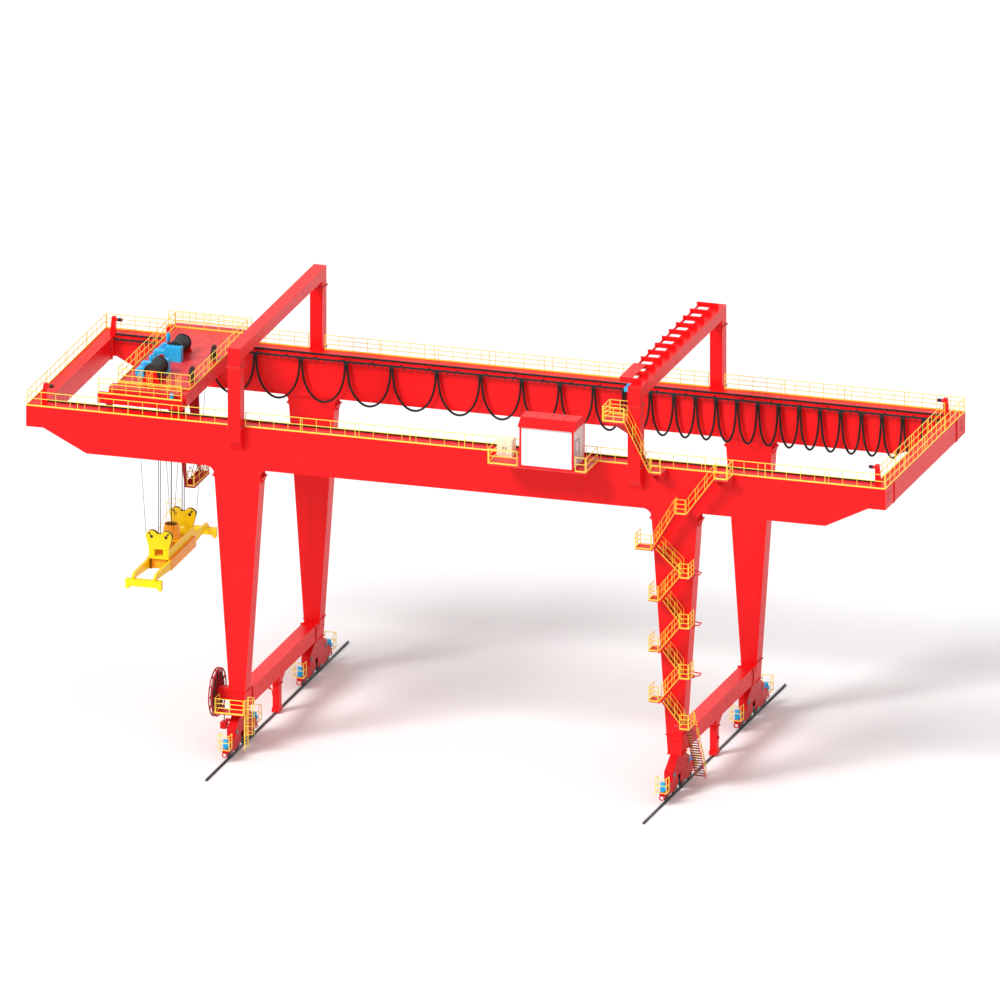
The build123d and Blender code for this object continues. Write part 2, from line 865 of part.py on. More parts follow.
def flight(low, high, y_span):
    """Straight flight between two edges: two stringers, treads and a sloped rail above each stringer."""
    x0, z0 = low
    x1, z1 = high
    steps = max(round((z1 - z0) / tread_rise), 2)
    slope = stringer_depth
    bands = [(y_span[0], y_span[0] + stringer_thickness), (y_span[1] - stringer_thickness, y_span[1])]
    outline = [(x0, z0), (x1, z1), (x1, z1 - slope), (x0, z0 - slope)]
    stringers = [prism_y(outline, band) for band in bands]
    treads = []
    for step in range(1, steps):
        x = x0 + (x1 - x0) * step / steps
        z = z0 + (z1 - z0) * step / steps
        treads.append(block(around(x, tread_depth / 2), (bands[0][1], bands[1][0]),
                            (z - slope / 2 - tread_thickness, z - slope / 2)))
    rails = []
    for band in bands:
        y = (band[0] + band[1]) / 2
        rails.append(railing((x0, y, z0), (x1, y, z1), bays=3, levels=2, bar=stringer_thickness))
    return stringers, treads, rails


def leg_stair():
    """Stair that climbs the front of the right leg in two lanes, and the flights above and below it."""
    wall = -half_frame
    inner = (wall - stair_standoff - stair_lane, wall - stair_standoff)
    outer = (inner[0] - stair_lane_gap - stair_lane, inner[0] - stair_lane_gap)
    levels = stair_levels()
    landings = []
    guards = []
    for left, right, top in levels:
        plate = block((left, right), (outer[0], wall), (top - landing_thickness, top))
        beam_x = sorted((half_gauge, left if left < half_gauge else right))
        beam = block(beam_x, (wall - landing_beam_width, wall),
                     (top - landing_thickness - landing_beam_depth, top - landing_thickness))
        landings.append(fuse([plate, beam]))
        guards.append(railing((left + rail_bar, outer[0] + rail_bar / 2, top),
                              (right - rail_bar, outer[0] + rail_bar / 2, top), bays=1, levels=3))
        if top != levels[0][2]:
            x = left + rail_bar / 2 if left < half_gauge else right - rail_bar / 2
            guards.append(railing((x, outer[0], top), (x, wall - landing_beam_width, top), bays=2, levels=3))
    save("stair_landings", landings)

    parts = [flight((levels[0][1], levels[0][2]), (stair_head_left, girder_top), outer),
             flight((levels[1][1], levels[1][2]), (levels[0][0], levels[0][2]), outer)]
    for upper, lower in zip(levels[1:], levels[2:]):
        if lower[0] > upper[0]:
            parts.append(flight((lower[0], lower[2]), (upper[1], upper[2]), inner))
        else:
            parts.append(flight((lower[1], lower[2]), (upper[0], upper[2]), outer))
    landing_top = portal_top - portal_landing_drop
    portal_lane = (-post_outer_y - landing_reach / 2 - flange_lip, -post_outer_y - stair_standoff)
    portal_right = right_portal_x - portal_post_width / 2
    parts.append(flight((portal_foot_left, platform_top), (portal_right, landing_top), portal_lane))
    save("stair_railings", [piece for part in parts for piece in part[2]] + guards)

    last = levels[-1]
    start_y = wall
    foot_z = rail_height + foot_flight_height
    steps = round((last[2] - foot_z) / tread_rise)
    stringers = [piece for part in parts for piece in part[0]]
    treads = [piece for part in parts for piece in part[1]]
    for x in (last[0], last[1] - stringer_thickness):
        stringers.append(prism_x([(start_y, last[2]), (start_y, last[2] - stringer_depth),
                                  (start_y + foot_flight_run, foot_z - stringer_depth),
                                  (start_y + foot_flight_run, foot_z)], (x, x + stringer_thickness)))
    for step in range(1, steps + 1):
        share = step / (steps + 1)
        y = start_y + foot_flight_run * share
        z = last[2] + (foot_z - last[2]) * share - stringer_depth / 2
        treads.append(block((last[0] + stringer_thickness, last[1] - stringer_thickness),
                            around(y, tread_depth / 2), (z - tread_thickness, z)))
    save("stair_stringers", stringers)
    save("stair_treads", treads)


def travel_gear():
    """Under each leg an equaliser and two bogies of two wheels, each with a geared motor in its guard."""
    equalisers = []
    bogies = []
    wheels = []
    motors = []
    guards = []
    half_inner = bogie_inner_width / 2
    half_outer = half_inner + bogie_plate
    for x in (-half_gauge, half_gauge):
        for leg_y in (-leg_axis_y, leg_axis_y):
            low = rail_height + bogie_top + bogie_pin_height
            mid = equaliser_length / 2
            root = leg_foot_width / 2 + flange_lip
            outline = [(leg_y - root, leg_foot), (leg_y + root, leg_foot),
                       (leg_y + mid, low + equaliser_end_depth), (leg_y + mid, low),
                       (leg_y - mid, low), (leg_y - mid, low + equaliser_end_depth)]
            equalisers.append(prism_x(outline, around(x, equaliser_width / 2)))
            for way in (-1, 1):
                centre = leg_y + way * bogie_spacing / 2
                case, motor, guard = bogie_motor(x, centre + way * bogie_length / 2, way)
                bogies.append(fuse([bogie_frame(x, centre, half_inner, half_outer), case]))
                for end in (-1, 1):
                    wheels.append(wheel(x, centre + end * wheel_spacing / 2, half_inner))
                motors.append(motor)
                guards.append(guard)
    save("equaliser_beams", equalisers)
    save("bogie_frames", bogies)
    save("travel_wheels", wheels)
    save("travel_motors", motors)
    save("motor_guards", guards)


def bogie_frame(x, centre, half_inner, half_outer):
    """Two bevelled side plates under a top plate, with the pivot pad that carries the equaliser."""
    top = rail_height + bogie_top
    low = rail_height + bogie_foot - bogie_bevel / 2
    half = bogie_length / 2
    outline = [(centre - half, top), (centre + half, top), (centre + half, low + bogie_bevel),
               (centre + half - bogie_bevel, low), (centre - half + bogie_bevel, low),
               (centre - half, low + bogie_bevel)]
    plates = [prism_x(outline, (x - half_outer, x - half_inner)),
              prism_x(outline, (x + half_inner, x + half_outer))]
    roof = block((x - half_inner, x + half_inner), around(centre, half), (top - bogie_plate, top))
    pad = block(around(x, equaliser_width / 2), around(centre, bogie_bevel), (top, top + bogie_pin_height))
    return fuse(plates + [roof, pad])


def wheel(x, y, half_inner):
    """Double-flanged wheel on an axle that spans the bogie's plates."""
    disc = rod((x - wheel_width / 2, y, wheel_axis), (x + wheel_width / 2, y, wheel_axis), wheel_radius)
    flanges = []
    for side in (-1, 1):
        inner = x + side * (rail_head_width / 2 + slide_gap)
        flanges.append(rod((inner, y, wheel_axis), (inner + side * wheel_flange_width, y, wheel_axis),
                           wheel_radius + wheel_flange))
    axle = rod((x - half_inner, y, wheel_axis), (x + half_inner, y, wheel_axis), axle_radius)
    return fuse([disc, axle] + flanges)


def bogie_motor(x, face, way):
    """Gear case on the bogie's end with a towing ring, the upright motor on the case, and a cage round them."""
    z = rail_height + motor_seat
    far = face + way * motor_reach
    half = bogie_inner_width / 2 + bogie_plate
    top = z + gear_case_height
    middle = (face + far) / 2
    case = block(around(x, half), sorted((face, far)), (z, top))
    ring_z = z - tow_ring_drop
    tip = far + way * tow_ring_bar
    eye = rod((x, far, ring_z), (x, tip, ring_z), tow_ring_radius)
    eye -= rod((x, far, ring_z), (x, tip, ring_z), tow_ring_radius - tow_ring_bar)
    motor = rod((x, middle, top), (x, middle, top + motor_height), motor_radius)
    outer = face + way * guard_reach
    near = sorted((face, face + way * rail_bar))
    front = sorted((outer, outer - way * rail_bar))
    bars = []
    for side in (-1, 1):
        edge = sorted((x + side * guard_half_width, x + side * (guard_half_width - rail_bar)))
        for y_span in (near, front):
            bars.append(block(edge, y_span, (top, top + guard_height)))
        for share in (0, guard_mid_share, 1):
            level = top + (guard_height - rail_bar) * share
            bars.append(block(edge, sorted((face, outer)), (level, level + rail_bar)))
    for share in (0, guard_mid_share, 1):
        level = top + (guard_height - rail_bar) * share
        bars.append(block(around(x, guard_half_width), front, (level, level + rail_bar)))
    bars.append(block(around(x, guard_half_width), near, (top, top + rail_bar)))
    return fuse([case, eye]), motor, fuse(bars)


def storm_anchors():
    """Tapered post under each sill with claws that stand clear of the rail head."""
    anchors = []
    claw_inner = rail_head_width / 2 + slide_gap
    claw_outer = anchor_column_width / 2
    for x in (-half_gauge, half_gauge):
        knee = sill_bottom - anchor_drop
        foot = rail_height + anchor_claw_height
        low = anchor_foot_length / 2
        column_x = around(x, anchor_column_width / 2)
        taper = loft([Plane(origin=(x, 0, knee)) * Rectangle(anchor_column_width, anchor_foot_length),
                      Plane(origin=(x, 0, sill_bottom)) * Rectangle(anchor_top_width, anchor_top_length)])
        plate = block(around(x, anchor_column_width / 2 + flange_lip), around(0, low + flange_lip),
                      (knee - flange_thickness, knee))
        column = block(column_x, around(0, low - flange_lip), (foot, knee - flange_thickness))
        claws = []
        for side in (-1, 1):
            claws.append(block(sorted((x + side * claw_inner, x + side * claw_outer)),
                               around(0, anchor_claw_length / 2), (rail_foot_height + anchor_foot_gap, foot)))
        cap = block(column_x, around(0, anchor_claw_length / 2), (rail_height + slide_gap, foot))
        anchors.append(fuse([taper, plate, column, cap] + claws))
    save("storm_anchors", anchors)


def cable_reel():
    """Spoked single-spiral reel on its drive case, the platform that serves it and its ladder."""
    z = rail_height + reel_height
    near = reel_x + reel_width / 2
    far = reel_x - reel_width / 2
    case_left = near + slide_gap
    hub = rod((near, reel_y, z), (far, reel_y, z), reel_hub_radius)
    shaft = rod((near, reel_y, z), (case_left - running_gap, reel_y, z), reel_shaft_radius)
    pieces = [hub, shaft]
    for x in (far, near - reel_spoke):
        rim = rod((x, reel_y, z), (x + reel_spoke, reel_y, z), reel_radius)
        rim -= rod((x, reel_y, z), (x + reel_spoke, reel_y, z), reel_radius - reel_rim)
        pieces.append(rim)
        reach = reel_radius - reel_rim / 2
        for index in range(reel_spokes):
            spoke = Pos(0, reach / 2, 0) * Box(reel_spoke, reach, reel_spoke)
            pieces.append(Pos(x + reel_spoke / 2, reel_y, z) * Rot(X=360 * index / reel_spokes) * spoke)
    save("cable_reel", [fuse(pieces)])
    turns_x = (far + reel_spoke, near - reel_spoke)
    turns = rod((turns_x[0], reel_y, z), (turns_x[1], reel_y, z), reel_cable_radius)
    turns -= rod((turns_x[0], reel_y, z), (turns_x[1], reel_y, z), reel_hub_radius)
    save("reel_cable", [turns])

    leg_left = -half_gauge - leg_foot_width / 2
    lean = (leg_top_width - leg_foot_width) / 2 / (leg_head - leg_foot)
    low = z - reel_case_height / 2
    high = z + reel_case_height / 2
    y_span = (reel_y - reel_case_width / 2, reel_y + reel_case_width / 2)
    foot_x = leg_left - lean * (low - leg_foot)
    head_x = leg_left - lean * (high - leg_foot)
    case = prism_y([(case_left, low), (foot_x, low), (head_x, high), (case_left, high)],
                   (max(y_span[0], -half_frame), y_span[1]))
    save("reel_case", [case])


def reel_platform():
    """Walkway in front of the left leg that serves the reel."""
    top = rail_height + reel_platform_height
    return block((reel_platform_left, reel_platform_right), (-half_frame - reel_platform_reach, -half_frame),
                 (top - landing_thickness, top))


def reel_railings():
    """Guard rails of the reel's walkway and the ladder up to it."""
    top = rail_height + reel_platform_height
    front = -half_frame - reel_platform_reach
    edge = front + railing_edge
    side = reel_platform_left + railing_edge
    panels = [
        railing((side + rail_bar, edge, top), (reel_platform_right, edge, top), bays=2, levels=3),
        railing((side, edge, top), (side, -half_frame - rail_bar, top), bays=1, levels=3),
    ]
    middle = -half_frame - reel_platform_reach / 2
    foot = rail_height + ladder_foot_height
    x_span = (reel_platform_right, reel_platform_right + ladder_stile)
    stiles = []
    for y in (middle - ladder_width, middle + ladder_width - ladder_stile):
        stiles.append(block(x_span, (y, y + ladder_stile), (foot, top + railing_height)))
    rungs = []
    for index in range(ladder_rungs):
        height = foot + (top - foot) * (index + 1) / (ladder_rungs + 1)
        rungs.append(block((x_span[0], x_span[0] + ladder_rung), around(middle, ladder_width),
                           (height, height + ladder_rung)))
    return panels + [fuse(stiles + rungs)]


def trolley():
    """Trolley: end trucks on the track, cross beams, deck, hoist, guard rails and hanging platform."""
    half_truck = truck_length / 2
    trucks = []
    wheels = []
    motors = []
    axis = track_top + truck_wheel_radius + running_gap
    for side in (-1, 1):
        y = side * track_y
        beam = block(around(trolley_x, half_truck), around(y, truck_width / 2), (truck_bottom, truck_top))
        pockets = []
        for way in (-1, 1):
            x = trolley_x + way * (half_truck - truck_wheel_inset)
            room = truck_wheel_radius + truck_pocket_gap
            half_pocket = truck_wheel_width / 2 + truck_pocket_gap
            pockets.append(block(around(x, room), around(y, half_pocket),
                                 (truck_bottom - cut_overrun, axis + room)))
            half = truck_wheel_width / 2
            disc = rod((x, y - half, axis), (x, y + half, axis), truck_wheel_radius)
            axle = rod((x, y - half_pocket, axis), (x, y + half_pocket, axis), axle_radius)
            wheels.append(fuse([disc, axle]))
        trucks.append(beam - pockets)
        face = y - side * truck_width / 2
        x = trolley_x - half_truck + truck_wheel_inset
        motors.append(rod((x, face, axis), (x, face - side * drive_motor_length, axis), drive_motor_radius))
    save("trolley_trucks", trucks)
    save("trolley_wheels", wheels)

    beam_top = deck_bottom
    beam_low = beam_top - cross_beam_depth
    reach = track_y - truck_width / 2
    beams = []
    for x in (deck_left + cross_beam_width, deck_right - cross_beam_width / 2):
        beams.append(block(around(x, cross_beam_width / 2), (-reach, reach), (beam_low, beam_top)))
    deck = block((deck_left, deck_right), around(0, deck_half_width), (deck_bottom, deck_top))
    save("trolley_frame", [fuse([deck] + beams)])
    hoist(motors)
    save("trolley_railing", trolley_guards() + hanging_platform(beam_low))


def hoist(motors):
    """Two rope drums either side of the gearboxes, with stands at their outer ends and motors behind."""
    stands = []
    drives = list(motors)
    sheaves = []
    for name, side in (("front_drum", -1), ("back_drum", 1)):
        start = drum_middle_y + side * drum_gap_half
        end = start + side * drum_length
        barrel = rod((drum_x, start, drum_axis), (drum_x, end, drum_axis), drum_radius)
        flanges = []
        for y, way in ((start, side), (end, -side)):
            flanges.append(rod((drum_x, y, drum_axis), (drum_x, y + way * drum_flange_width, drum_axis),
                               drum_radius + drum_flange))
        shaft = rod((drum_x, start - side * slide_gap, drum_axis), (drum_x, end + side * slide_gap, drum_axis),
                    drum_shaft_radius)
        save(name, [fuse([barrel, shaft] + flanges)])
        seat = end + side * (slide_gap + running_gap)
        top = drum_axis + drum_shaft_radius
        stands.append(prism_y([(drum_x - stand_width / 2, deck_top), (drum_x + stand_width / 2, deck_top),
                               (drum_x + stand_head / 2, top), (drum_x - stand_head / 2, top)],
                              sorted((seat, seat + side * stand_thickness))))
        box_start = start - side * (slide_gap + running_gap)
        box_end = box_start - side * gearbox_width
        right = drum_x + gearbox_length * gearbox_front_share
        box_x = (right - gearbox_length, right)
        box_y = sorted((box_start, box_end))
        box = block((box_x[0] + gearbox_neck, right), box_y, (deck_top, drum_axis + gearbox_height / 2))
        neck = block((box_x[0], box_x[0] + gearbox_neck), box_y, (deck_top, deck_top + hoist_motor_radius * 2))
        motor_x = box_x[0] + hoist_motor_radius
        motor_z = deck_top + hoist_motor_radius
        body = rod((motor_x, box_start, motor_z), (motor_x, box_start + side * hoist_motor_length, motor_z),
                   hoist_motor_radius)
        drives.append(fuse([box, neck, body]))
    hub_z = deck_top + sheave_radius
    half = sheave_width / 2
    for y in sheave_places:
        sheaves.append(rod((sheave_x - half, y, hub_z), (sheave_x + half, y, hub_z), sheave_radius))
    save("drum_stands", stands)
    save("hoist_drives", drives)
    save("deck_sheaves", sheaves)


def trolley_guards():
    """Guard rails along the outer sides of the trucks and the four sides of the deck."""
    left = deck_left + railing_edge
    right = deck_right - railing_edge
    y = deck_half_width - railing_edge
    walk = track_y + truck_width / 2 - railing_edge
    ends = truck_length / 2 - railing_edge
    panels = [
        railing((trolley_x - ends, -walk, truck_top), (trolley_x + ends, -walk, truck_top), levels=3),
        railing((trolley_x - ends, walk, truck_top), (trolley_x + ends, walk, truck_top), levels=3),
        railing((left, -y, deck_top), (right, -y, deck_top)),
        railing((left, y, deck_top), (right, y, deck_top), levels=3),
        railing((left, -y + rail_bar, deck_top), (left, y - rail_bar, deck_top)),
        railing((right, -y + rail_bar, deck_top), (right, y - rail_bar, deck_top)),
    ]
    return panels


def hanging_platform(beam_low):
    """Narrow platform hung below the trolley on two arms that taper towards it."""
    floor = block((hanger_left, hanger_right), (hanger_front, hanger_back),
                  (hanger_floor - platform_thickness, hanger_floor))
    root = deck_right - cross_beam_width + hanger_arm_foot
    foot = hanger_left + hanger_arm_foot
    beam_left = deck_right - cross_beam_width
    outline = [(hanger_left, hanger_floor), (foot, hanger_floor), (root, beam_low), (beam_left, beam_low),
               (beam_left, deck_bottom), (root - hanger_arm_top, deck_bottom)]
    arms = []
    for y in (hanger_front, hanger_back - hanger_arm_width):
        arms.append(prism_y(outline, (y, y + hanger_arm_width)))
    save("hanging_platform", [floor])
    save("hanger_arms", arms)
    edge = hanger_right - railing_edge
    front = hanger_front + rail_bar / 2
    back = hanger_back - rail_bar / 2
    return [
        railing((edge, hanger_front, hanger_floor), (edge, hanger_back, hanger_floor), bays=3),
        railing((foot + rail_bar, front, hanger_floor), (edge - rail_bar, front, hanger_floor), bays=1),
        railing((foot + rail_bar, back, hanger_floor), (edge - rail_bar, back, hanger_floor), bays=1),
    ]


def headblock():
    """Sheave block: two lobed housings on a base frame, each with a pair of rope sheaves."""
    plates = []
    sheaves = []
    for side in (-1, 1):
        y = side * rope_fall_y
        for start in (y - block_gap / 2 - block_plate, y + block_gap / 2):
            plates.append(housing_plate((start, start + block_plate)))
        for way in (-1, 1):
            x = hoist_x + way * block_lobe_x
            half = block_gap / 2 - slide_gap
            disc = rod((x, y - half, block_lobe_z), (x, y + half, block_lobe_z), block_sheave_radius)
            pin = rod((x, y - block_gap / 2, block_lobe_z), (x, y + block_gap / 2, block_lobe_z),
                      block_pin_radius)
            sheaves.append(fuse([disc, pin]))
    base_half = rope_fall_y + block_gap / 2 + block_plate
    sides = []
    for way in (-1, 1):
        x = hoist_x + way * (block_waist - block_plate) / 2
        sides.append(block(around(x, block_plate / 2), around(0, base_half), (main_top, block_base_top)))
    tray = block(around(hoist_x, block_waist / 2), around(0, basket_foot_radius),
                 (block_base_top - block_plate, block_base_top))
    save("headblock", [fuse(plates + sides + [tray])])
    save("headblock_sheaves", sheaves)

    outer = Pos(hoist_x, 0, block_base_top) * Cone(basket_foot_radius, basket_top_radius, basket_height,
                                                  align=(Align.CENTER, Align.CENTER, Align.MIN))
    inner = Pos(hoist_x, 0, block_base_top + basket_wall) * Cone(
        basket_foot_radius - basket_wall, basket_top_radius - basket_wall, basket_height,
        align=(Align.CENTER, Align.CENTER, Align.MIN))
    tub = outer - inner
    fill_top = block_base_top + basket_height - basket_fill_drop
    lid = block(around(hoist_x, basket_foot_radius), around(0, basket_foot_radius),
                (fill_top, fill_top + basket_height))
    save("cable_basket", [tub])
    save("basket_cable", [(outer & inner) - lid])


def housing_plate(y_span):
    """One lobed cheek of a sheave housing, with a window in its lower half."""
    half = block_waist / 2
    lobes = [rod((hoist_x + way * block_lobe_x, y_span[0], block_lobe_z),
                 (hoist_x + way * block_lobe_x, y_span[1], block_lobe_z), block_lobe_radius) for way in (-1, 1)]
    shoulder = block_lobe_x + block_lobe_radius
    low = block_lobe_z - block_lobe_radius
    body = prism_y([(hoist_x - half, main_top), (hoist_x + half, main_top),
                    (hoist_x + half, low - block_lobe_radius),
                    (hoist_x + shoulder, block_lobe_z), (hoist_x - shoulder, block_lobe_z),
                    (hoist_x - half, low - block_lobe_radius)], y_span)
    window = block(around(hoist_x, block_window_width / 2), y_span,
                   (main_top + block_window_rise, main_top + block_window_rise + block_window_height))
    valley = block(around(hoist_x, block_lobe_x), y_span, (block_lobe_z, block_lobe_z + block_valley_rise))
    return fuse([body, valley] + lobes) - window


def spreader():
    """Spreader: two tubular main beams with cross members, and an end beam on two sliding arms at each end."""
    beams = []
    for way in (-1, 1):
        x = hoist_x + way * main_beam_x
        shell = block(around(x, main_beam_width / 2), around(0, main_half_length), (main_bottom, main_top))
        bore = block(around(x, main_beam_inner / 2), around(0, main_half_length + cut_overrun),
                     (main_bottom + main_wall, main_top - main_wall))
        beams.append(shell - bore)
    inner = main_beam_x - main_beam_width / 2
    for y in (-main_half_length + main_cross_width, 0, main_half_length - main_cross_width):
        beams.append(block(around(hoist_x, inner), around(y, main_cross_width / 2), (main_bottom, main_top)))
    save("spreader_frame", [fuse(beams)])

    lane = (arm_width + slide_gap) / 2
    for name, side, lane_way in (("front_telescope", -1, 1), ("back_telescope", 1, -1)):
        y = side * corner_spacing_y / 2
        tail = side * (main_half_length - arm_overlap)
        knee = side * main_half_length
        y_span = around(y, spreader_end_width / 2)
        pieces = [block(around(hoist_x, end_beam_reach / 2), y_span, (end_beam_low, end_beam_top))]
        outline = [(tail, arm_bottom), (knee, arm_bottom), (y, end_beam_top), (y, arm_top - arm_bevel),
                   (y - side * arm_bevel, arm_top), (tail, arm_top)]
        for way in (-1, 1):
            x = hoist_x + way * (main_beam_x + lane_way * lane)
            pieces.append(prism_x(outline, around(x, arm_width / 2)))
            pieces.append(block(around(x, arm_width / 2), y_span, (end_beam_top, end_beam_top + arm_bevel)))
            end = hoist_x + way * end_beam_reach / 2
            pieces.append(block(sorted((end, end - way * spreader_foot_length)), y_span,
                                (spreader_bottom, end_beam_low)))
            corner = hoist_x + way * corner_spacing_x / 2
            pieces.append(rod((corner, y, spreader_bottom), (corner, y, spreader_bottom - twistlock_length),
                              twistlock_radius))
        save(name, [fuse(pieces)])


def hoist_ropes():
    """Falls of rope from the trolley to the sheave block, and the power cable down to its basket."""
    low = block_lobe_z
    high = deck_bottom
    ropes = []
    for y in (-rope_fall_y, rope_fall_y):
        for way in (-1, 1):
            inner = hoist_x + way * rope_inner_x
            ropes.append(rod((inner, y, low), (inner, y, high), rope_radius))
            lean = rope_radius * (rope_spread_x - rope_outer_x) / (high - low)
            ropes.append(rod((hoist_x + way * rope_outer_x, y, low),
                             (hoist_x + way * rope_spread_x, y, high - lean), rope_radius))
    fill_top = block_base_top + basket_height - basket_fill_drop
    ropes.append(rod((hoist_x, 0, fill_top), (hoist_x, 0, high), power_cable_radius))
    save("hoist_ropes", ropes)


ground_rails()
girders()
end_beams()
legs()
sill_beams()
portals()
portal_rack()
trolley_track()
festoon()
girder_railings()
electrical_house()
side_platforms()
leg_stair()
travel_gear()
storm_anchors()
cable_reel()
trolley()
headblock()
spreader()
hoist_ropes()
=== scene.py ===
import json

import bpy
import numpy as np
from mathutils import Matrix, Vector


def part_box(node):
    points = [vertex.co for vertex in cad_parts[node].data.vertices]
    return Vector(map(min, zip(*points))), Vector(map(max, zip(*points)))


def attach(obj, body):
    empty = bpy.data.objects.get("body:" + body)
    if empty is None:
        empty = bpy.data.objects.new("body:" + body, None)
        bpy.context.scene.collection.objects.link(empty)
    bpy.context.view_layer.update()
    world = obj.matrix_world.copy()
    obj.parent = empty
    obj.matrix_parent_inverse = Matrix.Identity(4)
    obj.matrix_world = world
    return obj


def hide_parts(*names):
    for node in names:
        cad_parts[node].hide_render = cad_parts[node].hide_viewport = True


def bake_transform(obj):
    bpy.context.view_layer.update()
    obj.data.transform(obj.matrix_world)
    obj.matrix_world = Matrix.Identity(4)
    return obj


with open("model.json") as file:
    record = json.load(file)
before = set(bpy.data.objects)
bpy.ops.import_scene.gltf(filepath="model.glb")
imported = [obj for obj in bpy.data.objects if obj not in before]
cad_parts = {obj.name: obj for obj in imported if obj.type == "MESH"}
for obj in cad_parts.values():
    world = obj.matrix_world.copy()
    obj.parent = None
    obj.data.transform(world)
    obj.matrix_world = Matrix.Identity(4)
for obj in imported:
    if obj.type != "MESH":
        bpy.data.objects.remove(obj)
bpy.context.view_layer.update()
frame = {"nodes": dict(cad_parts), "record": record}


def corners(node):
    """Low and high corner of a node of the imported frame, in metres."""
    return np.array(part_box(node))


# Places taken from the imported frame, in metres
girder_low, girder_high = corners("front_girder")
rail_low, rail_high = corners("crane_rails")
legs_low, legs_high = corners("right_legs")
sill_low, sill_high = corners("sill_beams")
post_low, post_high = corners("portal_posts")
beam_low, beam_high = corners("end_beams")
deck_low, deck_high = corners("trolley_frame")
block_low, block_high = corners("headblock")
basket_low, basket_high = corners("cable_basket")
reel_low, reel_high = corners("cable_reel")
door_low, door_high = corners("house_door")
walls_low, walls_high = corners("house_walls")
roof_low, roof_high = corners("house_roof")
cabinet_low, cabinet_high = corners("control_cabinet")
truck_low, truck_high = corners("trolley_trucks")
buffer_low, buffer_high = corners("trolley_buffers")

girder_top = girder_high[2]
half_length = girder_high[0]
half_frame = -girder_low[1]
girder_inner = -girder_high[1]
half_gauge = (legs_low[0] + legs_high[0]) / 2
leg_head = legs_high[2]
leg_foot = legs_low[2]
leg_depth = 0.59
leg_top_half = 0.7925
leg_foot_half = 0.23
flange_lip = 0.04
flange_thickness = 0.025
left_portal_x = -7.595
right_portal_x = 6.3
post_half = 0.2175
post_inner = 4.275
post_outer = 4.725
portal_splice = post_high[2]
hoist_x = (block_low[0] + block_high[0]) / 2
deck_bottom = deck_high[2] - 0.04
railing_height = 0.515
railing_edge = 0.02
rail_bar = 0.009
deck_half_width = 3.15
rope_y = 1.3
trolley_rail_y = half_frame - 0.635
splice_y = girder_inner - 0.25
crease_angle = 0.6


def grid_faces(rows, columns, close_columns=True):
    """Cells of a grid of points, each cell the four corners (r, c), (r+1, c), (r+1, c+1), (r, c+1)."""
    last = columns if close_columns else columns - 1
    r, c = np.meshgrid(np.arange(rows - 1), np.arange(last), indexing="ij")
    right = (c + 1) % columns
    here, below = r * columns, (r + 1) * columns
    return np.stack([here + c, below + c, below + right, here + right], -1).reshape(-1, 4)


def closed_grid(points):
    """Surface of a grid whose rows are rings: cells between the rings and one flat face over each end ring."""
    rows, columns = points.shape[:2]
    ring = np.arange(columns)
    ends = np.stack([ring, (rows - 1) * columns + ring[::-1]])
    return points.reshape(-1, 3), [grid_faces(rows, columns), ends]


def unit(vectors):
    """Vectors divided by their own lengths."""
    return vectors / np.linalg.norm(vectors, axis=-1, keepdims=True)


def tube(path, radius, sides=8):
    """Circle carried along a path: path point + radius (cos t times side + sin t times up)."""
    path = np.asarray(path, float)
    ahead = unit(np.gradient(path, axis=0))
    guide = np.eye(3)[np.argmin(np.abs(ahead).max(axis=0))]
    side = unit(np.cross(ahead, guide))
    up = np.cross(side, ahead)
    t = np.linspace(0, 2 * np.pi, sides, endpoint=False)[None, :, None]
    return closed_grid(path[:, None] + radius * (np.cos(t) * side[:, None] + np.sin(t) * up[:, None]))


def turned(profile, centre, axis, sides=24):
    """Profile of (radius, height) pairs about an axis: centre + height axis + radius (cos t u + sin t v)."""
    profile = np.asarray(profile, float)
    axis = unit(np.asarray(axis, float))
    u = unit(np.cross(axis, np.eye(3)[np.argmin(np.abs(axis))]))
    v = np.cross(axis, u)
    t = -np.linspace(0, 2 * np.pi, sides, endpoint=False)[None, :, None]
    radius = profile[:, :1, None]
    height = profile[:, 1:, None]
    return closed_grid(np.asarray(centre, float) + height * axis + radius * (np.cos(t) * u + np.sin(t) * v))


def slab(low, high, bevel=0.006):
    """Box with bevelled edges: eight-cornered outline carried along the longest way, drawn in at both ends."""
    low, high = np.minimum(low, high), np.maximum(low, high)
    half = (high - low) / 2
    way = int(np.argmax(half))
    a, b = ((1, 2), (2, 0), (0, 1))[way]
    bevel = min(bevel, 0.5 * half.min())
    ha, hb, hl = half[a], half[b], half[way]
    outline = np.array([
        (ha, bevel - hb), (ha, hb - bevel), (ha - bevel, hb), (bevel - ha, hb),
        (-ha, hb - bevel), (-ha, bevel - hb), (bevel - ha, -hb), (ha - bevel, -hb),
    ])[::-1]
    inset = outline - bevel * np.sign(outline)
    points = np.zeros((4, 8, 3))
    points[:, :, a] = np.stack([inset[:, 0], outline[:, 0], outline[:, 0], inset[:, 0]])
    points[:, :, b] = np.stack([inset[:, 1], outline[:, 1], outline[:, 1], inset[:, 1]])
    points[:, :, way] = np.array([-hl, bevel - hl, hl - bevel, hl])[:, None]
    return closed_grid(points + (low + high) / 2)


def plate(outline, origin, across, up, through):
    """Flat outline, origin + a across + b up, carried along the through vector."""
    outline = np.asarray(outline, float)
    across, up, through = (np.asarray(v, float) for v in (across, up, through))
    x, y = outline.T
    turn = np.sum(x * np.roll(y, -1) - y * np.roll(x, -1)) * np.dot(np.cross(across, up), through)
    outline = outline[::-1] if turn > 0 else outline
    base = np.asarray(origin, float) + outline[:, :1] * across + outline[:, 1:] * up
    return closed_grid(np.stack([base, base + through]))


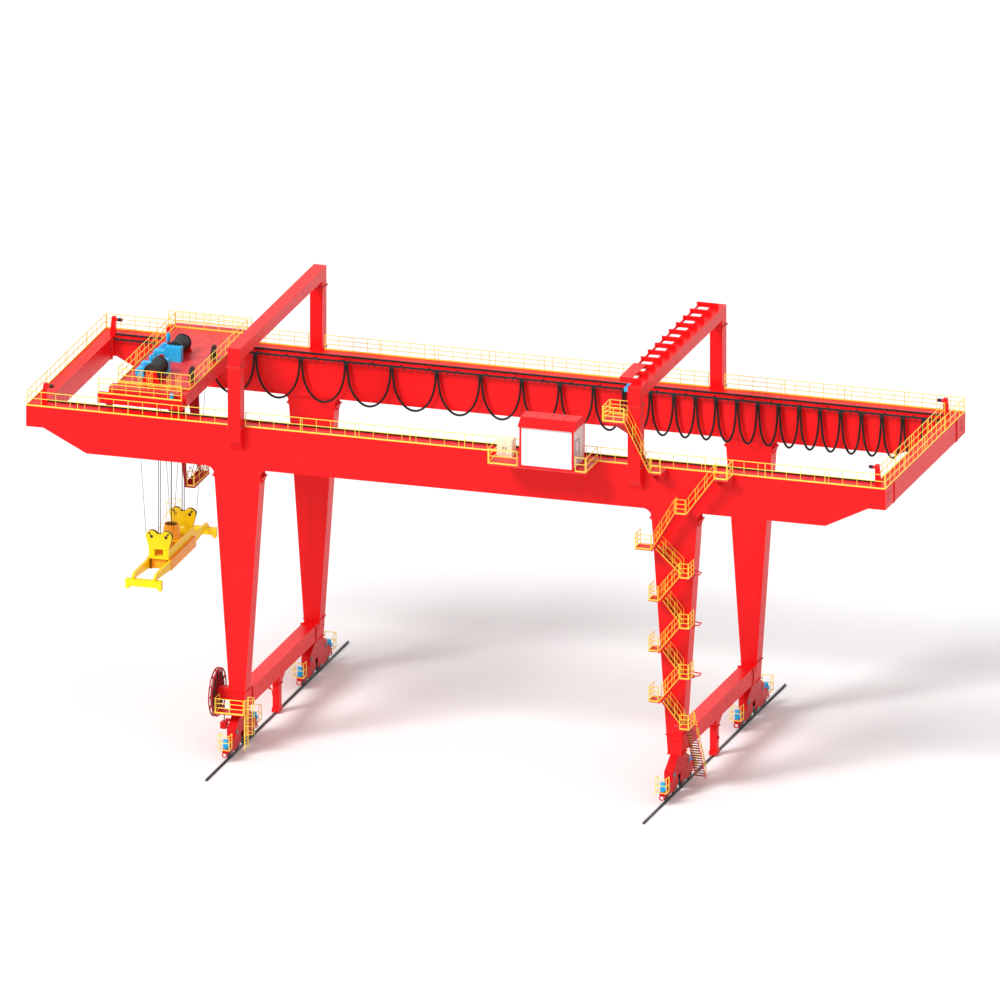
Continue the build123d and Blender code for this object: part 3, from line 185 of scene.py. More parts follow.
def repeated(surface, places):
    """Copies of a surface: its points plus each place, its face numbers plus that copy's first point."""
    points, faces = surface
    places = np.asarray(places, float).reshape(-1, 3)
    first = np.arange(len(places))[:, None, None] * len(points)
    moved = (places[:, None] + points[None]).reshape(-1, 3)
    return moved, [(first + group[None]).reshape(-1, group.shape[1]) for group in faces]


def joined(surfaces):
    """Several surfaces as one: points stacked, each one's face numbers moved up by the points before it."""
    counts = np.cumsum([0] + [len(points) for points, faces in surfaces])
    faces = [group + start for (points, groups), start in zip(surfaces, counts) for group in groups]
    return np.concatenate([points for points, groups in surfaces]), faces


def mirrored(surface):
    """Surface with X negated, and each face's corners reversed so that it still points outwards."""
    points, faces = surface
    return points * (-1, 1, 1), [group[:, ::-1] for group in faces]


def lattice(*axes):
    """Every mix of the values along X, Y and Z as one list of places."""
    return np.stack(np.meshgrid(*[np.atleast_1d(a) for a in axes], indexing="ij"), -1).reshape(-1, 3)


def shaped(name, surface, material):
    """Smooth mesh object of a surface."""
    points, faces = surface
    mesh = bpy.data.meshes.new(name)
    mesh.from_pydata(points.tolist(), [], [cell for group in faces for cell in group.tolist()])
    mesh.polygons.foreach_set("use_smooth", np.ones(len(mesh.polygons), bool))
    mesh.materials.append(material)
    obj = bpy.data.objects.new(name, mesh)
    bpy.context.scene.collection.objects.link(obj)
    return obj


def piece(name, surface, material, body):
    """Mesh object of a surface, smooth but for its sharp edges, riding on a body."""
    obj = shaped(name, surface, material)
    obj.data.set_sharp_from_angle(angle=crease_angle)
    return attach(obj, body)


def new_material(name):
    """Empty node material with its shader and output joined."""
    material = bpy.data.materials.new(name)
    material.use_nodes = True
    tree = material.node_tree
    tree.nodes.clear()
    shader = tree.nodes.new("ShaderNodeBsdfPrincipled")
    output = tree.nodes.new("ShaderNodeOutputMaterial")
    tree.links.new(shader.outputs[0], output.inputs[0])
    return material, tree, shader


def add(tree, kind, inputs=None, **settings):
    """Node of a kind with its settings, each input a number or the socket that feeds it."""
    node = tree.nodes.new("ShaderNode" + kind)
    for key, value in settings.items():
        setattr(node, key, value)
    for key, value in (inputs or {}).items():
        if isinstance(value, bpy.types.NodeSocket):
            tree.links.new(value, node.inputs[key])
        else:
            node.inputs[key].default_value = value
    return node


def object_points(tree, scale=(1, 1, 1), location=(0, 0, 0), rotation=(0, 0, 0)):
    """Places on the piece, stretched by the scale about a location."""
    places = add(tree, "TexCoord")
    return add(tree, "Mapping", {"Vector": places.outputs["Object"], "Scale": scale, "Location": location,
                                 "Rotation": rotation}).outputs[0]


def noise(tree, vector, scale, detail=3.0):
    """Soft noise, from 0 to 1, at a number of lumps to the metre."""
    return add(tree, "TexNoise", {"Vector": vector, "Scale": scale, "Detail": detail}).outputs["Fac"]


def between(tree, factor, low, high, out_low=0.0, out_high=1.0):
    """Factor stretched from one range on to another."""
    return add(tree, "MapRange", {"Value": factor, "From Min": low, "From Max": high, "To Min": out_low,
                                  "To Max": out_high}).outputs[0]


def mixed(tree, factor, first, second, blend="MIX"):
    """Two colours mixed by a factor."""
    node = add(tree, "Mix", data_type="RGBA", blend_type=blend)
    for index, value in ((0, factor), (6, first), (7, second)):
        if isinstance(value, bpy.types.NodeSocket):
            tree.links.new(value, node.inputs[index])
        else:
            node.inputs[index].default_value = value
    return node.outputs[2]


def lifted(tree, shader, height, strength, distance):
    """Bump of a height on the shader's normal."""
    bump = add(tree, "Bump", {"Height": height, "Strength": strength, "Distance": distance})
    tree.links.new(bump.outputs[0], shader.inputs["Normal"])


def enamel(name, colour, shade, rough=0.36, gloss=0.28, streaks=0.35, peel=0.25):
    """Paint on steel: broad patches drift darker, faint rain streaks run down, orange peel lifts it."""
    material, tree, shader = new_material(name)
    patches = between(tree, noise(tree, object_points(tree), 0.45), 0.35, 0.75)
    rain = noise(tree, object_points(tree, scale=(3.0, 3.0, 0.16)), 1.0, 5.0)
    runs = between(tree, rain, 0.52, 0.78, 0.0, streaks)
    body = mixed(tree, patches, colour + (1,), tuple(0.93 * c for c in colour) + (1,))
    tree.links.new(mixed(tree, runs, body, shade + (1,)), shader.inputs["Base Color"])
    grain = noise(tree, object_points(tree), 9.0)
    tree.links.new(between(tree, grain, 0.3, 0.7, rough - 0.06, rough + 0.08), shader.inputs["Roughness"])
    shader.inputs["Specular IOR Level"].default_value = gloss
    lifted(tree, shader, noise(tree, object_points(tree), 55.0, 1.0), peel, 0.002)
    return material


def worn_steel(name, colour, bright, scale, rough=0.45, metal=0.8):
    """Rolled or cast steel: dark skin with brighter worn streaks along it and a pitted bump."""
    material, tree, shader = new_material(name)
    wear = between(tree, noise(tree, object_points(tree, scale=scale), 1.0, 6.0), 0.45, 0.7)
    tree.links.new(mixed(tree, wear, colour + (1,), bright + (1,)), shader.inputs["Base Color"])
    tree.links.new(between(tree, wear, 0.0, 1.0, rough + 0.1, rough - 0.1), shader.inputs["Roughness"])
    shader.inputs["Metallic"].default_value = metal
    lifted(tree, shader, noise(tree, object_points(tree), 90.0), 0.3, 0.002)
    return material


def cable_rubber(name, colour, dusty):
    """Rubber jacket: matt, with dust in patches and a fine cross rib."""
    material, tree, shader = new_material(name)
    dust = between(tree, noise(tree, object_points(tree), 4.0, 5.0), 0.45, 0.75)
    tree.links.new(mixed(tree, dust, colour + (1,), dusty + (1,)), shader.inputs["Base Color"])
    tree.links.new(between(tree, dust, 0.0, 1.0, 0.5, 0.75), shader.inputs["Roughness"])
    ribs = add(tree, "TexWave", {"Vector": object_points(tree), "Scale": 14.0, "Distortion": 0.4},
               bands_direction="DIAGONAL").outputs["Fac"]
    shader.inputs["Specular IOR Level"].default_value = 0.15
    lifted(tree, shader, ribs, 0.25, 0.004)
    return material


def wire_rope(name, colour, bright):
    """Laid wire: slanting bands of strand and gap along the rope, greased dark in the gaps."""
    material, tree, shader = new_material(name)
    strands = add(tree, "TexWave", {"Vector": object_points(tree, scale=(14.0, 14.0, 5.0)), "Scale": 1.0,
                                    "Distortion": 0.3}, bands_direction="DIAGONAL").outputs["Fac"]
    tree.links.new(mixed(tree, strands, colour + (1,), bright + (1,)), shader.inputs["Base Color"])
    grease = noise(tree, object_points(tree), 3.0)
    tree.links.new(between(tree, grease, 0.3, 0.7, 0.35, 0.6), shader.inputs["Roughness"])
    shader.inputs["Metallic"].default_value = 0.6
    lifted(tree, shader, strands, 0.5, 0.004)
    return material


def sheet_panel(name, colour, shade, rib_scale):
    """Ribbed sheet wall: shallow upright ribs, dust in tall patches and a satin coat."""
    material, tree, shader = new_material(name)
    dust = between(tree, noise(tree, object_points(tree, scale=(1.0, 1.0, 0.4)), 2.0, 5.0), 0.5, 0.8, 0.0, 0.35)
    tree.links.new(mixed(tree, dust, colour + (1,), shade + (1,)), shader.inputs["Base Color"])
    grain = noise(tree, object_points(tree), 12.0)
    tree.links.new(between(tree, grain, 0.3, 0.7, 0.38, 0.5), shader.inputs["Roughness"])
    shader.inputs["Specular IOR Level"].default_value = 0.3
    ribs = add(tree, "TexWave", {"Vector": object_points(tree, scale=(1.0, 1.0, 0.0)), "Scale": rib_scale},
               bands_direction="DIAGONAL", wave_profile="TRI").outputs["Fac"]
    lifted(tree, shader, ribs, 0.25, 0.006)
    return material


def tread_plate(name, colour, shade):
    """Chequered plate: raised lozenges in a regular grid on enamel, scuffed in patches."""
    material, tree, shader = new_material(name)
    cells = add(tree, "TexVoronoi", {"Vector": object_points(tree, rotation=(0, 0, 0.785)), "Scale": 22.0,
                                     "Randomness": 0.0}, distance="CHEBYCHEV").outputs["Distance"]
    lozenge = between(tree, cells, 0.2, 0.3, 1.0, 0.0)
    scuff = between(tree, noise(tree, object_points(tree), 2.5, 5.0), 0.4, 0.75)
    tree.links.new(mixed(tree, scuff, colour + (1,), shade + (1,)), shader.inputs["Base Color"])
    tree.links.new(between(tree, scuff, 0.0, 1.0, 0.34, 0.55), shader.inputs["Roughness"])
    shader.inputs["Specular IOR Level"].default_value = 0.3
    lifted(tree, shader, lozenge, 0.4, 0.004)
    return material


def reel_turns(name, centre):
    """Cable wound on the reel: rings of jacket about the reel's axle, with painted shade between the turns."""
    material, tree, shader = new_material(name)
    places = object_points(tree, location=tuple(-c for c in centre))
    rings = add(tree, "TexWave", {"Vector": places, "Scale": 11.0, "Distortion": 0.15}, wave_type="RINGS",
                rings_direction="X").outputs["Fac"]
    # The jacket colour is darkest between the turns: painted shade in the gaps.
    jacket = mixed(tree, rings, (0.012, 0.01, 0.01, 1), (0.06, 0.045, 0.04, 1))
    tree.links.new(jacket, shader.inputs["Base Color"])
    tree.links.new(between(tree, rings, 0.0, 1.0, 0.8, 0.5), shader.inputs["Roughness"])
    lifted(tree, shader, rings, 0.8, 0.012)
    return material


red = enamel("red_enamel", (0.88, 0.006, 0.008), (0.6, 0.004, 0.007), gloss=0.2)
# Darker copy of the red enamel: painted shade for the low travel gear, also put on the girder hatches and the
# reel guide.
painted_shade_red = enamel("painted_shade_red_enamel", (0.66, 0.006, 0.01), (0.36, 0.004, 0.008), gloss=0.2)
dark_red = enamel("dark_red_enamel", (0.42, 0.006, 0.012), (0.2, 0.004, 0.008))
yellow = enamel("rail_yellow", (1.0, 0.76, 0.09), (0.9, 0.6, 0.07))
stair_yellow = enamel("stair_yellow", (0.96, 0.6, 0.05), (0.84, 0.46, 0.05))
spreader_yellow = enamel("spreader_yellow", (1.0, 0.74, 0.003), (0.8, 0.5, 0.01))
orange = enamel("spreader_orange", (1.0, 0.41, 0.01), (0.72, 0.25, 0.01))
blue = enamel("motor_blue", (0.025, 0.48, 0.88), (0.015, 0.28, 0.55))
black = enamel("track_black", (0.018, 0.018, 0.02), (0.05, 0.045, 0.04), rough=0.5)
grey = enamel("bearing_grey", (0.22, 0.23, 0.24), (0.1, 0.1, 0.1), rough=0.45)
rail_steel = worn_steel("rail_steel", (0.065, 0.07, 0.08), (0.2, 0.2, 0.21), (3.0, 0.4, 3.0), metal=0.3)
wheel_iron = worn_steel("wheel_iron", (0.04, 0.04, 0.042), (0.22, 0.22, 0.23), (4.0, 4.0, 4.0))
drum_steel = worn_steel("drum_steel", (0.016, 0.016, 0.018), (0.055, 0.055, 0.058), (3.0, 9.0, 3.0),
                        metal=0.4)
rope = wire_rope("hoist_wire", (0.1, 0.095, 0.095), (0.36, 0.35, 0.35))
brown_rope = wire_rope("greased_wire", (0.11, 0.03, 0.02), (0.3, 0.13, 0.1))
rubber = cable_rubber("buffer_rubber", (0.012, 0.012, 0.013), (0.04, 0.038, 0.036))
cable = cable_rubber("festoon_rubber", (0.014, 0.009, 0.008), (0.034, 0.024, 0.021))
white = sheet_panel("house_white", (0.8, 0.81, 0.82), (0.55, 0.55, 0.54), 3.0)
cream = sheet_panel("cabinet_cream", (0.93, 0.86, 0.6), (0.7, 0.62, 0.42), 1.0)
red_plate = tread_plate("walkway_red", (0.8, 0.02, 0.024), (0.6, 0.05, 0.05))
dark_plate = tread_plate("tread_red", (0.3, 0.01, 0.014), (0.2, 0.03, 0.03))
turns = reel_turns("reel_cable_turns", (reel_low + reel_high) / 2)

slot_finish = {
    "red_paint": red, "dark_red_paint": dark_red, "yellow_paint": yellow, "spreader_yellow": spreader_yellow,
    "orange_paint": orange, "blue_paint": blue, "black_paint": black, "rail_steel": rail_steel,
    "wheel_steel": wheel_iron, "drum_steel": drum_steel, "rope_wire": rope, "cable_jacket": cable,
    "white_panel": white, "cream_panel": cream,
}
# The bogie frames and equaliser beams take the darker red, which is painted shade on the low travel gear.
node_finish = {"side_platforms": red_plate, "stair_landings": red_plate, "stair_treads": dark_plate,
               "trolley_frame": red_plate, "hanging_platform": dark_red, "reel_cable": turns,
               "bogie_frames": painted_shade_red, "equaliser_beams": painted_shade_red, "stair_railings": stair_yellow}

for part in frame["record"]["subparts"]:
    node = frame["nodes"][part["node"]]
    node.data.materials.clear()
    node.data.materials.append(node_finish.get(part["node"], slot_finish[part["material_slot"]]))


def guard_posts(name, runs, body, pitch=0.5, radius=rail_bar):
    """Round posts at an even pitch along guard rail runs, and a round top rail along each run."""
    post = tube([(0, 0, 0), (0, 0, railing_height)], radius, 6)
    surfaces = []
    for start, end in runs:
        start, end = np.array(start), np.array(end)
        count = max(int(round(np.linalg.norm(end - start) / pitch)), 1)
        share = np.linspace(0, 1, count + 1)[:, None]
        surfaces.append(repeated(post, start + share * (end - start)))
        lift = np.array((0, 0, railing_height - radius))
        surfaces.append(tube([start + lift, end + lift], radius + 0.002, 8))
    return piece(name, joined(surfaces), yellow, body)


def main_guard_posts():
    """Posts of the railings along the girders, across the ends and round the trolley deck."""
    gap = post_half + flange_lip + railing_edge
    end = half_length - railing_edge
    spans = [(-end, left_portal_x - gap), (left_portal_x + gap, right_portal_x - gap),
             (right_portal_x + gap, end)]
    for name, side in (("front_guard_posts", -1), ("back_guard_posts", 1)):
        y = side * (half_frame - railing_edge)
        guard_posts(name, [((a, y, girder_top), (b, y, girder_top)) for a, b in spans], "gantry")
    reach = half_frame - 0.06
    inner_x = half_length - 0.48
    inner_y = girder_inner - railing_edge
    guard_posts("end_guard_posts", [
        ((-end, -reach, girder_top), (-end, reach, girder_top)),
        ((end, -reach, girder_top), (end, reach, girder_top)),
        ((inner_x, -inner_y, girder_top), (inner_x, inner_y, girder_top)),
    ], "gantry")
    top = deck_high[2]
    left, right = deck_low[0] + railing_edge, deck_high[0] - railing_edge
    y = deck_half_width - railing_edge
    guard_posts("deck_guard_posts", [
        ((left, -y, top), (right, -y, top)), ((left, y, top), (right, y, top)),
        ((left, -y, top), (left, y, top)), ((right, -y, top), (right, y, top)),
    ], "trolley")
    left, right = truck_low[0] + railing_edge, truck_high[0] - railing_edge
    y, top = truck_high[1] - railing_edge, truck_high[2]
    guard_posts("truck_guard_posts", [((left, -y, top), (right, -y, top)), ((left, y, top), (right, y, top))],
                "trolley")


def splice_bolts():
    """Hexagon bolt heads in rows on the flanges of the legs, portals, sills and end beams."""
    head = [(0.02, -0.002), (0.02, 0.011), (0.014, 0.015)]
    standing = turned(head, (0, 0, 0), (0, 0, 1), 6)
    hanging = turned(head, (0, 0, 0), (0, 0, -1), 6)
    north = turned(head, (0, 0, 0), (0, 1, 0), 6)
    south = turned(head, (0, 0, 0), (0, -1, 0), 6)
    surfaces = []
    rows = np.linspace(0.07, leg_depth - 0.07, 5)
    leg_y = np.concatenate([half_frame - rows, rows - half_frame])
    lips = np.array([-1, 1]) * (leg_top_half + flange_lip)
    leg_x = np.concatenate([lips - half_gauge, lips + half_gauge])
    surfaces.append(repeated(standing, lattice(leg_x, leg_y, leg_head + flange_thickness)))
    surfaces.append(repeated(hanging, lattice(leg_x, leg_y, leg_head - flange_thickness)))
    lips = np.array([-1, 1]) * (post_half + flange_lip / 2)
    post_x = np.concatenate([lips + left_portal_x, lips + right_portal_x])
    rows = np.linspace(post_inner + 0.05, post_outer - 0.05, 4)
    post_y = np.concatenate([rows, -rows])
    surfaces.append(repeated(standing, lattice(post_x, post_y, portal_splice + flange_thickness)))
    surfaces.append(repeated(hanging, lattice(post_x, post_y, portal_splice - flange_thickness)))
    surfaces.append(repeated(standing, lattice(post_x, post_y, girder_top + flange_thickness)))
    across = np.linspace(-0.16, 0.16, 4)
    lip_y = np.array([post_inner - flange_lip / 2, post_outer + flange_lip / 2])
    lip_y = np.concatenate([lip_y, -lip_y])
    lip_x = np.concatenate([across + left_portal_x, across + right_portal_x])
    surfaces.append(repeated(standing, lattice(lip_x, lip_y, portal_splice + flange_thickness)))
    surfaces.append(repeated(hanging, lattice(lip_x, lip_y, portal_splice - flange_thickness)))
    sill_y = half_frame - leg_depth - 0.3
    lips = np.array([-1, 1]) * (0.25 + flange_lip / 2)
    sill_x = np.concatenate([lips - half_gauge, lips + half_gauge])
    heights = np.linspace(sill_low[2] + 0.06, sill_high[2] - 0.06, 6)
    end_x = np.array([-1, 1]) * (half_length - 0.5 - flange_lip / 2)
    end_z = np.linspace(beam_low[2] + 0.08, beam_high[2] - 0.06, 7)
    for way, bolt in ((1, north), (-1, south)):
        y = np.array([-sill_y, sill_y]) + way * flange_thickness
        surfaces.append(repeated(bolt, lattice(sill_x, y, heights)))
        y = np.array([-splice_y, splice_y]) + way * flange_thickness
        surfaces.append(repeated(bolt, lattice(end_x, y, end_z)))
    return piece("splice_bolts", joined(surfaces), grey, "gantry")


def leg_gussets():
    """Three-cornered stiffeners on the flange lips, above and below each leg head."""
    size = 2 * flange_lip
    tall = 0.2
    surfaces = []
    rows = np.linspace(0.14, leg_depth - 0.14, 3) - 0.006
    places_y = np.concatenate([rows - half_frame, half_frame - leg_depth + rows])
    for way in (-1, 1):
        for rise in (-1, 1):
            corner = plate([(0, 0), (size, 0), (0, tall)], (way * leg_top_half, 0, rise * flange_thickness),
                           (way, 0, 0), (0, 0, rise), (0, 0.012, 0))
            surfaces.append(repeated(corner, lattice([-half_gauge, half_gauge], places_y, leg_head)))
    return piece("leg_gussets", joined(surfaces), red, "gantry")


def drum_rope(name, node, body):
    """Rope in its grooves: radius = core + wire |cos(pi turns u + t / 2)|, u along the drum and t round it."""
    low, high = corners(node)
    core = 0.25
    wire = 0.012
    margin = 0.05
    turn_count = 25
    u, t = np.meshgrid(np.linspace(0, 1, turn_count * 8), -np.linspace(0, 2 * np.pi, 40, endpoint=False),
                       indexing="ij")
    radius = core + 0.001 + wire * np.abs(np.cos(np.pi * turn_count * u + t / 2))
    y = low[1] + margin + u * (high[1] - low[1] - 2 * margin)
    centre = (low + high) / 2
    points = np.stack([centre[0] + radius * np.sin(t), y, centre[2] + radius * np.cos(t)], -1)
    return piece(name, closed_grid(points), drum_steel, body)


def sheave_profile(radius, half_width):
    """Half section of a grooved wheel: hub, thin web, rim and a round groove in the rim."""
    groove = np.linspace(np.pi, 2 * np.pi, 7)
    pairs = [(0.03, -half_width), (0.25 * radius, -half_width), (0.28 * radius, -0.4 * half_width),
             (0.74 * radius, -0.4 * half_width), (0.78 * radius, -half_width), (radius, -half_width)]
    depth = 0.7 * half_width
    pairs += [(radius + depth * np.sin(a), 0.75 * half_width * np.cos(a)) for a in groove]
    pairs += [(r, -h) for r, h in reversed(pairs[:6])]
    return pairs


def rope_sheaves():
    """Grooved wheels on the deck and in the headblock, in place of the plain discs."""
    low, high = corners("deck_sheaves")
    radius = (high[2] - low[2]) / 2
    half = (high[0] - low[0]) / 2
    wheel = turned(sheave_profile(radius, half), (0, 0, 0), (1, 0, 0), 40)
    places = lattice((low[0] + high[0]) / 2, [low[1] + radius, high[1] - radius], low[2] + radius)
    deck = piece("grooved_deck_sheaves", repeated(wheel, places), drum_steel, "trolley")
    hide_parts("deck_sheaves")
    low, high = corners("headblock_sheaves")
    radius = (high[2] - low[2]) / 2
    wheel = turned(sheave_profile(radius, 0.039), (0, 0, 0), (0, 1, 0), 40)
    pin = tube([(0, -0.045, 0), (0, 0.045, 0)], 0.04, 12)
    places = lattice([low[0] + radius, high[0] - radius], [low[1] + 0.045, high[1] - 0.045], low[2] + radius)
    block = piece("grooved_block_sheaves", repeated(joined([wheel, pin]), places), drum_steel, "spreader")
    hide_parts("headblock_sheaves")


def finned_motor(radius, length, fins=20, fin=0.12):
    """Motor barrel along Z: radius = barrel (1 + fin times a square wave), with a plain fan cover on top."""
    t = -np.linspace(0, 2 * np.pi, fins * 4, endpoint=False)
    wave = 1 + fin * (np.arange(fins * 4) % 4 < 2)
    heights = np.array([0.0, 0.06, 0.06, 0.72, 0.72, 0.97, 1.0]) * length
    plain = np.full_like(t, 1.05)
    rings = np.stack([plain, plain, wave, wave, plain * 1.09, plain * 1.09, plain * 0.95]) * radius / 1.15
    points = np.stack([rings * np.cos(t), rings * np.sin(t), np.repeat(heights[:, None], len(t), 1)], -1)
    return closed_grid(points)


def travel_drives():
    """Finned barrels, terminal boxes and bearing caps on the upright travel motors of every bogie."""
    barrel = finned_motor(0.088, 0.315)
    box = slab((0.06, -0.05, 0.08), (0.12, 0.05, 0.2), 0.01)
    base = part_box("travel_motors")[0][2]
    leg_y = half_frame - leg_depth / 2
    reach = 0.8 + 0.665 + 0.095
    y = np.array([-leg_y - reach, -leg_y + reach, leg_y - reach, leg_y + reach])
    places = lattice([-half_gauge, half_gauge], y, base)
    piece("finned_travel_motors", repeated(joined([barrel, box]), places), blue, "gantry")
    cap_profile = [(0.07, 0), (0.07, 0.014), (0.05, 0.024), (0.05, 0.034), (0.02, 0.036)]
    cap = turned(cap_profile, (0, 0, 0), (1, 0, 0), 20)
    back = turned(cap_profile, (0, 0, 0), (-1, 0, 0), 20)
    wheels = np.array([-1.2, -0.4, 0.4, 1.2])
    wheel_y = np.concatenate([leg_y + wheels, wheels - leg_y])
    axis = rail_high[2] + 0.1753
    half = 0.09
    caps = joined([repeated(cap, lattice([half - half_gauge, half + half_gauge], wheel_y, axis)),
                   repeated(back, lattice([-half - half_gauge, half_gauge - half], wheel_y, axis))])
    piece("axle_caps", caps, grey, "gantry")
    pin_y = np.concatenate([leg_y + np.array([-0.8, 0.8]), -leg_y + np.array([-0.8, 0.8])])
    pivot_profile = [(0.085, 0), (0.085, 0.02), (0.06, 0.034), (0.03, 0.036)]
    pivot = turned(pivot_profile, (0, 0, 0), (1, 0, 0), 24)
    away = turned(pivot_profile, (0, 0, 0), (-1, 0, 0), 24)
    height = rail_high[2] + 0.76
    pins = joined([repeated(pivot, lattice([0.15 - half_gauge, 0.15 + half_gauge], pin_y, height)),
                   repeated(away, lattice([-0.15 - half_gauge, half_gauge - 0.15], pin_y, height))])
    piece("pivot_caps", pins, grey, "gantry")


def hoist_machinery():
    """Finned shells on the hoist motors, and ribbed covers on the gearboxes of the trolley deck."""
    top = deck_high[2]
    surfaces = []
    barrel, faces = finned_motor(0.19, 0.6, 24)
    for y, way in ((-1.83, -1), (-0.2, 1)):
        lying = np.stack([barrel[:, 0] - 11.575, y + way * barrel[:, 2], top + 0.19 - way * barrel[:, 1]], -1)
        surfaces.append((lying, faces))
    piece("finned_hoist_motors", joined(surfaces), blue, "trolley")
    ribs = slab((-0.02, -0.13, 0), (0.02, 0.13, 0.03), 0.006)
    lids = slab((-0.24, -0.1, 0), (0.24, 0.1, 0.025), 0.008)
    box_y = [-1.6937, -0.3363]
    cover = joined([repeated(ribs, lattice(np.linspace(-11.32, -10.84, 4), box_y, top + 0.488)),
                    repeated(lids, lattice(-11.08, box_y, top + 0.483))])
    piece("gearbox_ribs", cover, blue, "trolley")


def deck_details():
    """Brake units between the gearboxes, an encoder on a post and a small motor on the front truck."""
    top = deck_high[2]
    unit_x = -11.6
    units = [(unit_x, -1.2, top), (unit_x, -0.82, top)]
    aside = [(unit_x, -1.02, top)]
    thruster_profile = [(0.05, 0.1), (0.065, 0.11), (0.065, 0.36), (0.045, 0.38), (0.045, 0.42), (0.01, 0.43)]
    thruster = turned(thruster_profile, (0, 0, 0), (0, 0, 1), 20)
    encoder_profile = [(0.06, 0.52), (0.07, 0.54), (0.07, 0.78), (0.03, 0.8), (0.03, 0.84)]
    encoder = turned(encoder_profile, (0.2, 1.1, 0), (0, 0, 1), 20)
    motor, faces = finned_motor(0.07, 0.2, 16)
    upright = (motor + (1.53, -2.72, truck_high[2] - top), faces)
    blues = joined([repeated(thruster, units), repeated(joined([encoder, upright]), aside)])
    piece("brake_thrusters", blues, blue, "trolley")
    foot = slab((-0.1, -0.1, 0), (0.1, 0.1, 0.1), 0.01)
    cheek = plate([(0, 0), (0.3, 0), (0.22, 0.34), (0.12, 0.34)], (0.08, -0.02, 0), (1, 0, 0), (0, 0, 1),
                  (0, 0.04, 0))
    wheel_profile = [(0.02, -0.03), (0.13, -0.03), (0.13, 0.03), (0.02, 0.03)]
    wheel = turned(wheel_profile, (0.23, 0.05, 0.2), (0, 1, 0), 28)
    post = slab((0.165, 1.065, 0), (0.235, 1.135, 0.53), 0.008)
    frames = joined([repeated(joined([foot, cheek, wheel]), units), repeated(post, aside)])
    piece("brake_frames", frames, dark_red, "trolley")


def truck_bridges():
    """Walkway plates and webs that join the deck to its trucks, with two railed gates in front."""
    left, right = -12.3, -9.85
    plate_y, plate_half = 3.385, 0.235
    web_y, web_half = 3.605, 0.015
    plates = []
    webs = []
    for side in (-1, 1):
        plates.append(slab((left, side * plate_y - plate_half, deck_bottom),
                           (right, side * plate_y + plate_half, deck_bottom + 0.03), 0.004))
        webs.append(slab((left, side * web_y - web_half, truck_high[2] - 0.02),
                         (right, side * web_y + web_half, deck_bottom + 0.01), 0.004))
    piece("truck_bridges", joined(plates + webs), red_plate, "trolley")
    near, middle, far = -3.6, -3.4, -3.2
    bars = []
    for x in (-0.18, 0.18):
        bars += [tube([(x, y, deck_bottom + 0.03), (x, y, deck_bottom + 0.56)], rail_bar, 6)
                 for y in (near, middle, far)]
        bars += [tube([(x, near, z), (x, far, z)], rail_bar, 6)
                 for z in deck_bottom + np.array([0.2, 0.38, 0.555])]
    gates = [(-11.1, 0, 0), (-10.1, 0, 0)]
    piece("bridge_rails", repeated(joined(bars), gates), yellow, "trolley")


def platform_braces():
    """Crossed bars on the long sides of the hanging platform, and a toe plate along its left edge."""
    floor = 8.625
    ends = np.array([-3.08, -2.54, -2.02, -1.5])
    bars = []
    for x in (-9.81, -9.485):
        for a, b in zip(ends, ends[1:]):
            bars += [tube([(x, foot, floor + 0.01), (x, head, floor + 0.5)], 0.011, 6)
                     for foot, head in ((a, b), (b, a))]
    bars.append(slab((-9.825, -3.1, floor - 0.005), (-9.81, -1.48, floor + 0.09), 0.004))
    piece("platform_braces", joined(bars), dark_red, "trolley")


def end_splices():
    """Flange lips on the outer faces of the end beams, and a hatch on each girder's end."""
    hatch_y = (half_frame + girder_inner) / 2
    lips = []
    hatches = []
    for way in (-1, 1):
        face = way * half_length
        for side in (-1, 1):
            lips.append(slab((face, side * splice_y - 0.02, beam_low[2] + 0.04),
                             (face + way * 0.03, side * splice_y + 0.02, girder_top), 0.004))
            hatches.append(slab((face - way * 0.004, side * hatch_y - 0.1, girder_top - 0.52),
                                (face + way * 0.01, side * hatch_y + 0.1, girder_top - 0.18), 0.004))
    piece("end_splice_lips", joined(lips), red, "gantry")
    # The hatches take the darker red that is painted shade.
    piece("girder_hatches", joined(hatches), painted_shade_red, "gantry")


def house_fittings():
    """Door handle, hinges and frame, and the roof seams of the electrical house."""
    x = walls_high[0]
    wide, thick = 0.03, 0.012
    head = door_high[2] + wide
    frame_bars = [
        slab((x, door_low[1] - wide, door_low[2]), (x + thick, door_low[1], head), 0.004),
        slab((x, door_high[1], door_low[2]), (x + thick, door_high[1] + wide, head), 0.004),
        slab((x, door_low[1] - wide, door_high[2]), (x + thick, door_high[1] + wide, head), 0.004),
    ]
    hinge_y = door_high[1] - 0.015
    hinges = [tube([(x + 0.008, hinge_y, z - 0.04), (x + 0.008, hinge_y, z + 0.04)], 0.01, 8)
              for z in np.linspace(door_low[2] + 0.12, door_high[2] - 0.12, 3)]
    grip = np.array([(0, 0, 0), (0.04, 0, 0), (0.05, 0, 0.02), (0.05, 0, 0.12), (0.04, 0, 0.14), (0, 0, 0.14)])
    handle = tube(grip + (x, door_low[1] + 0.06, door_low[2] + 0.42), 0.009, 8)
    piece("door_fittings", joined(frame_bars + hinges + [handle]), grey, "gantry")
    y = np.array([roof_low[1], roof_low[1] + 0.33, roof_high[1] - 0.33, roof_high[1]])
    z = np.array([roof_low[2] + 0.04, roof_high[2], roof_high[2], roof_low[2] + 0.04])
    share = np.linspace(0, 3, 25)
    line = np.stack([np.zeros(25), np.interp(share, np.arange(4), y), np.interp(share, np.arange(4), z)], -1)
    seam_x = np.linspace(roof_low[0] + 0.03, roof_high[0] - 0.03, 5)
    piece("roof_seams", repeated(tube(line, 0.012, 6), lattice(seam_x, 0, 0)), red, "gantry")


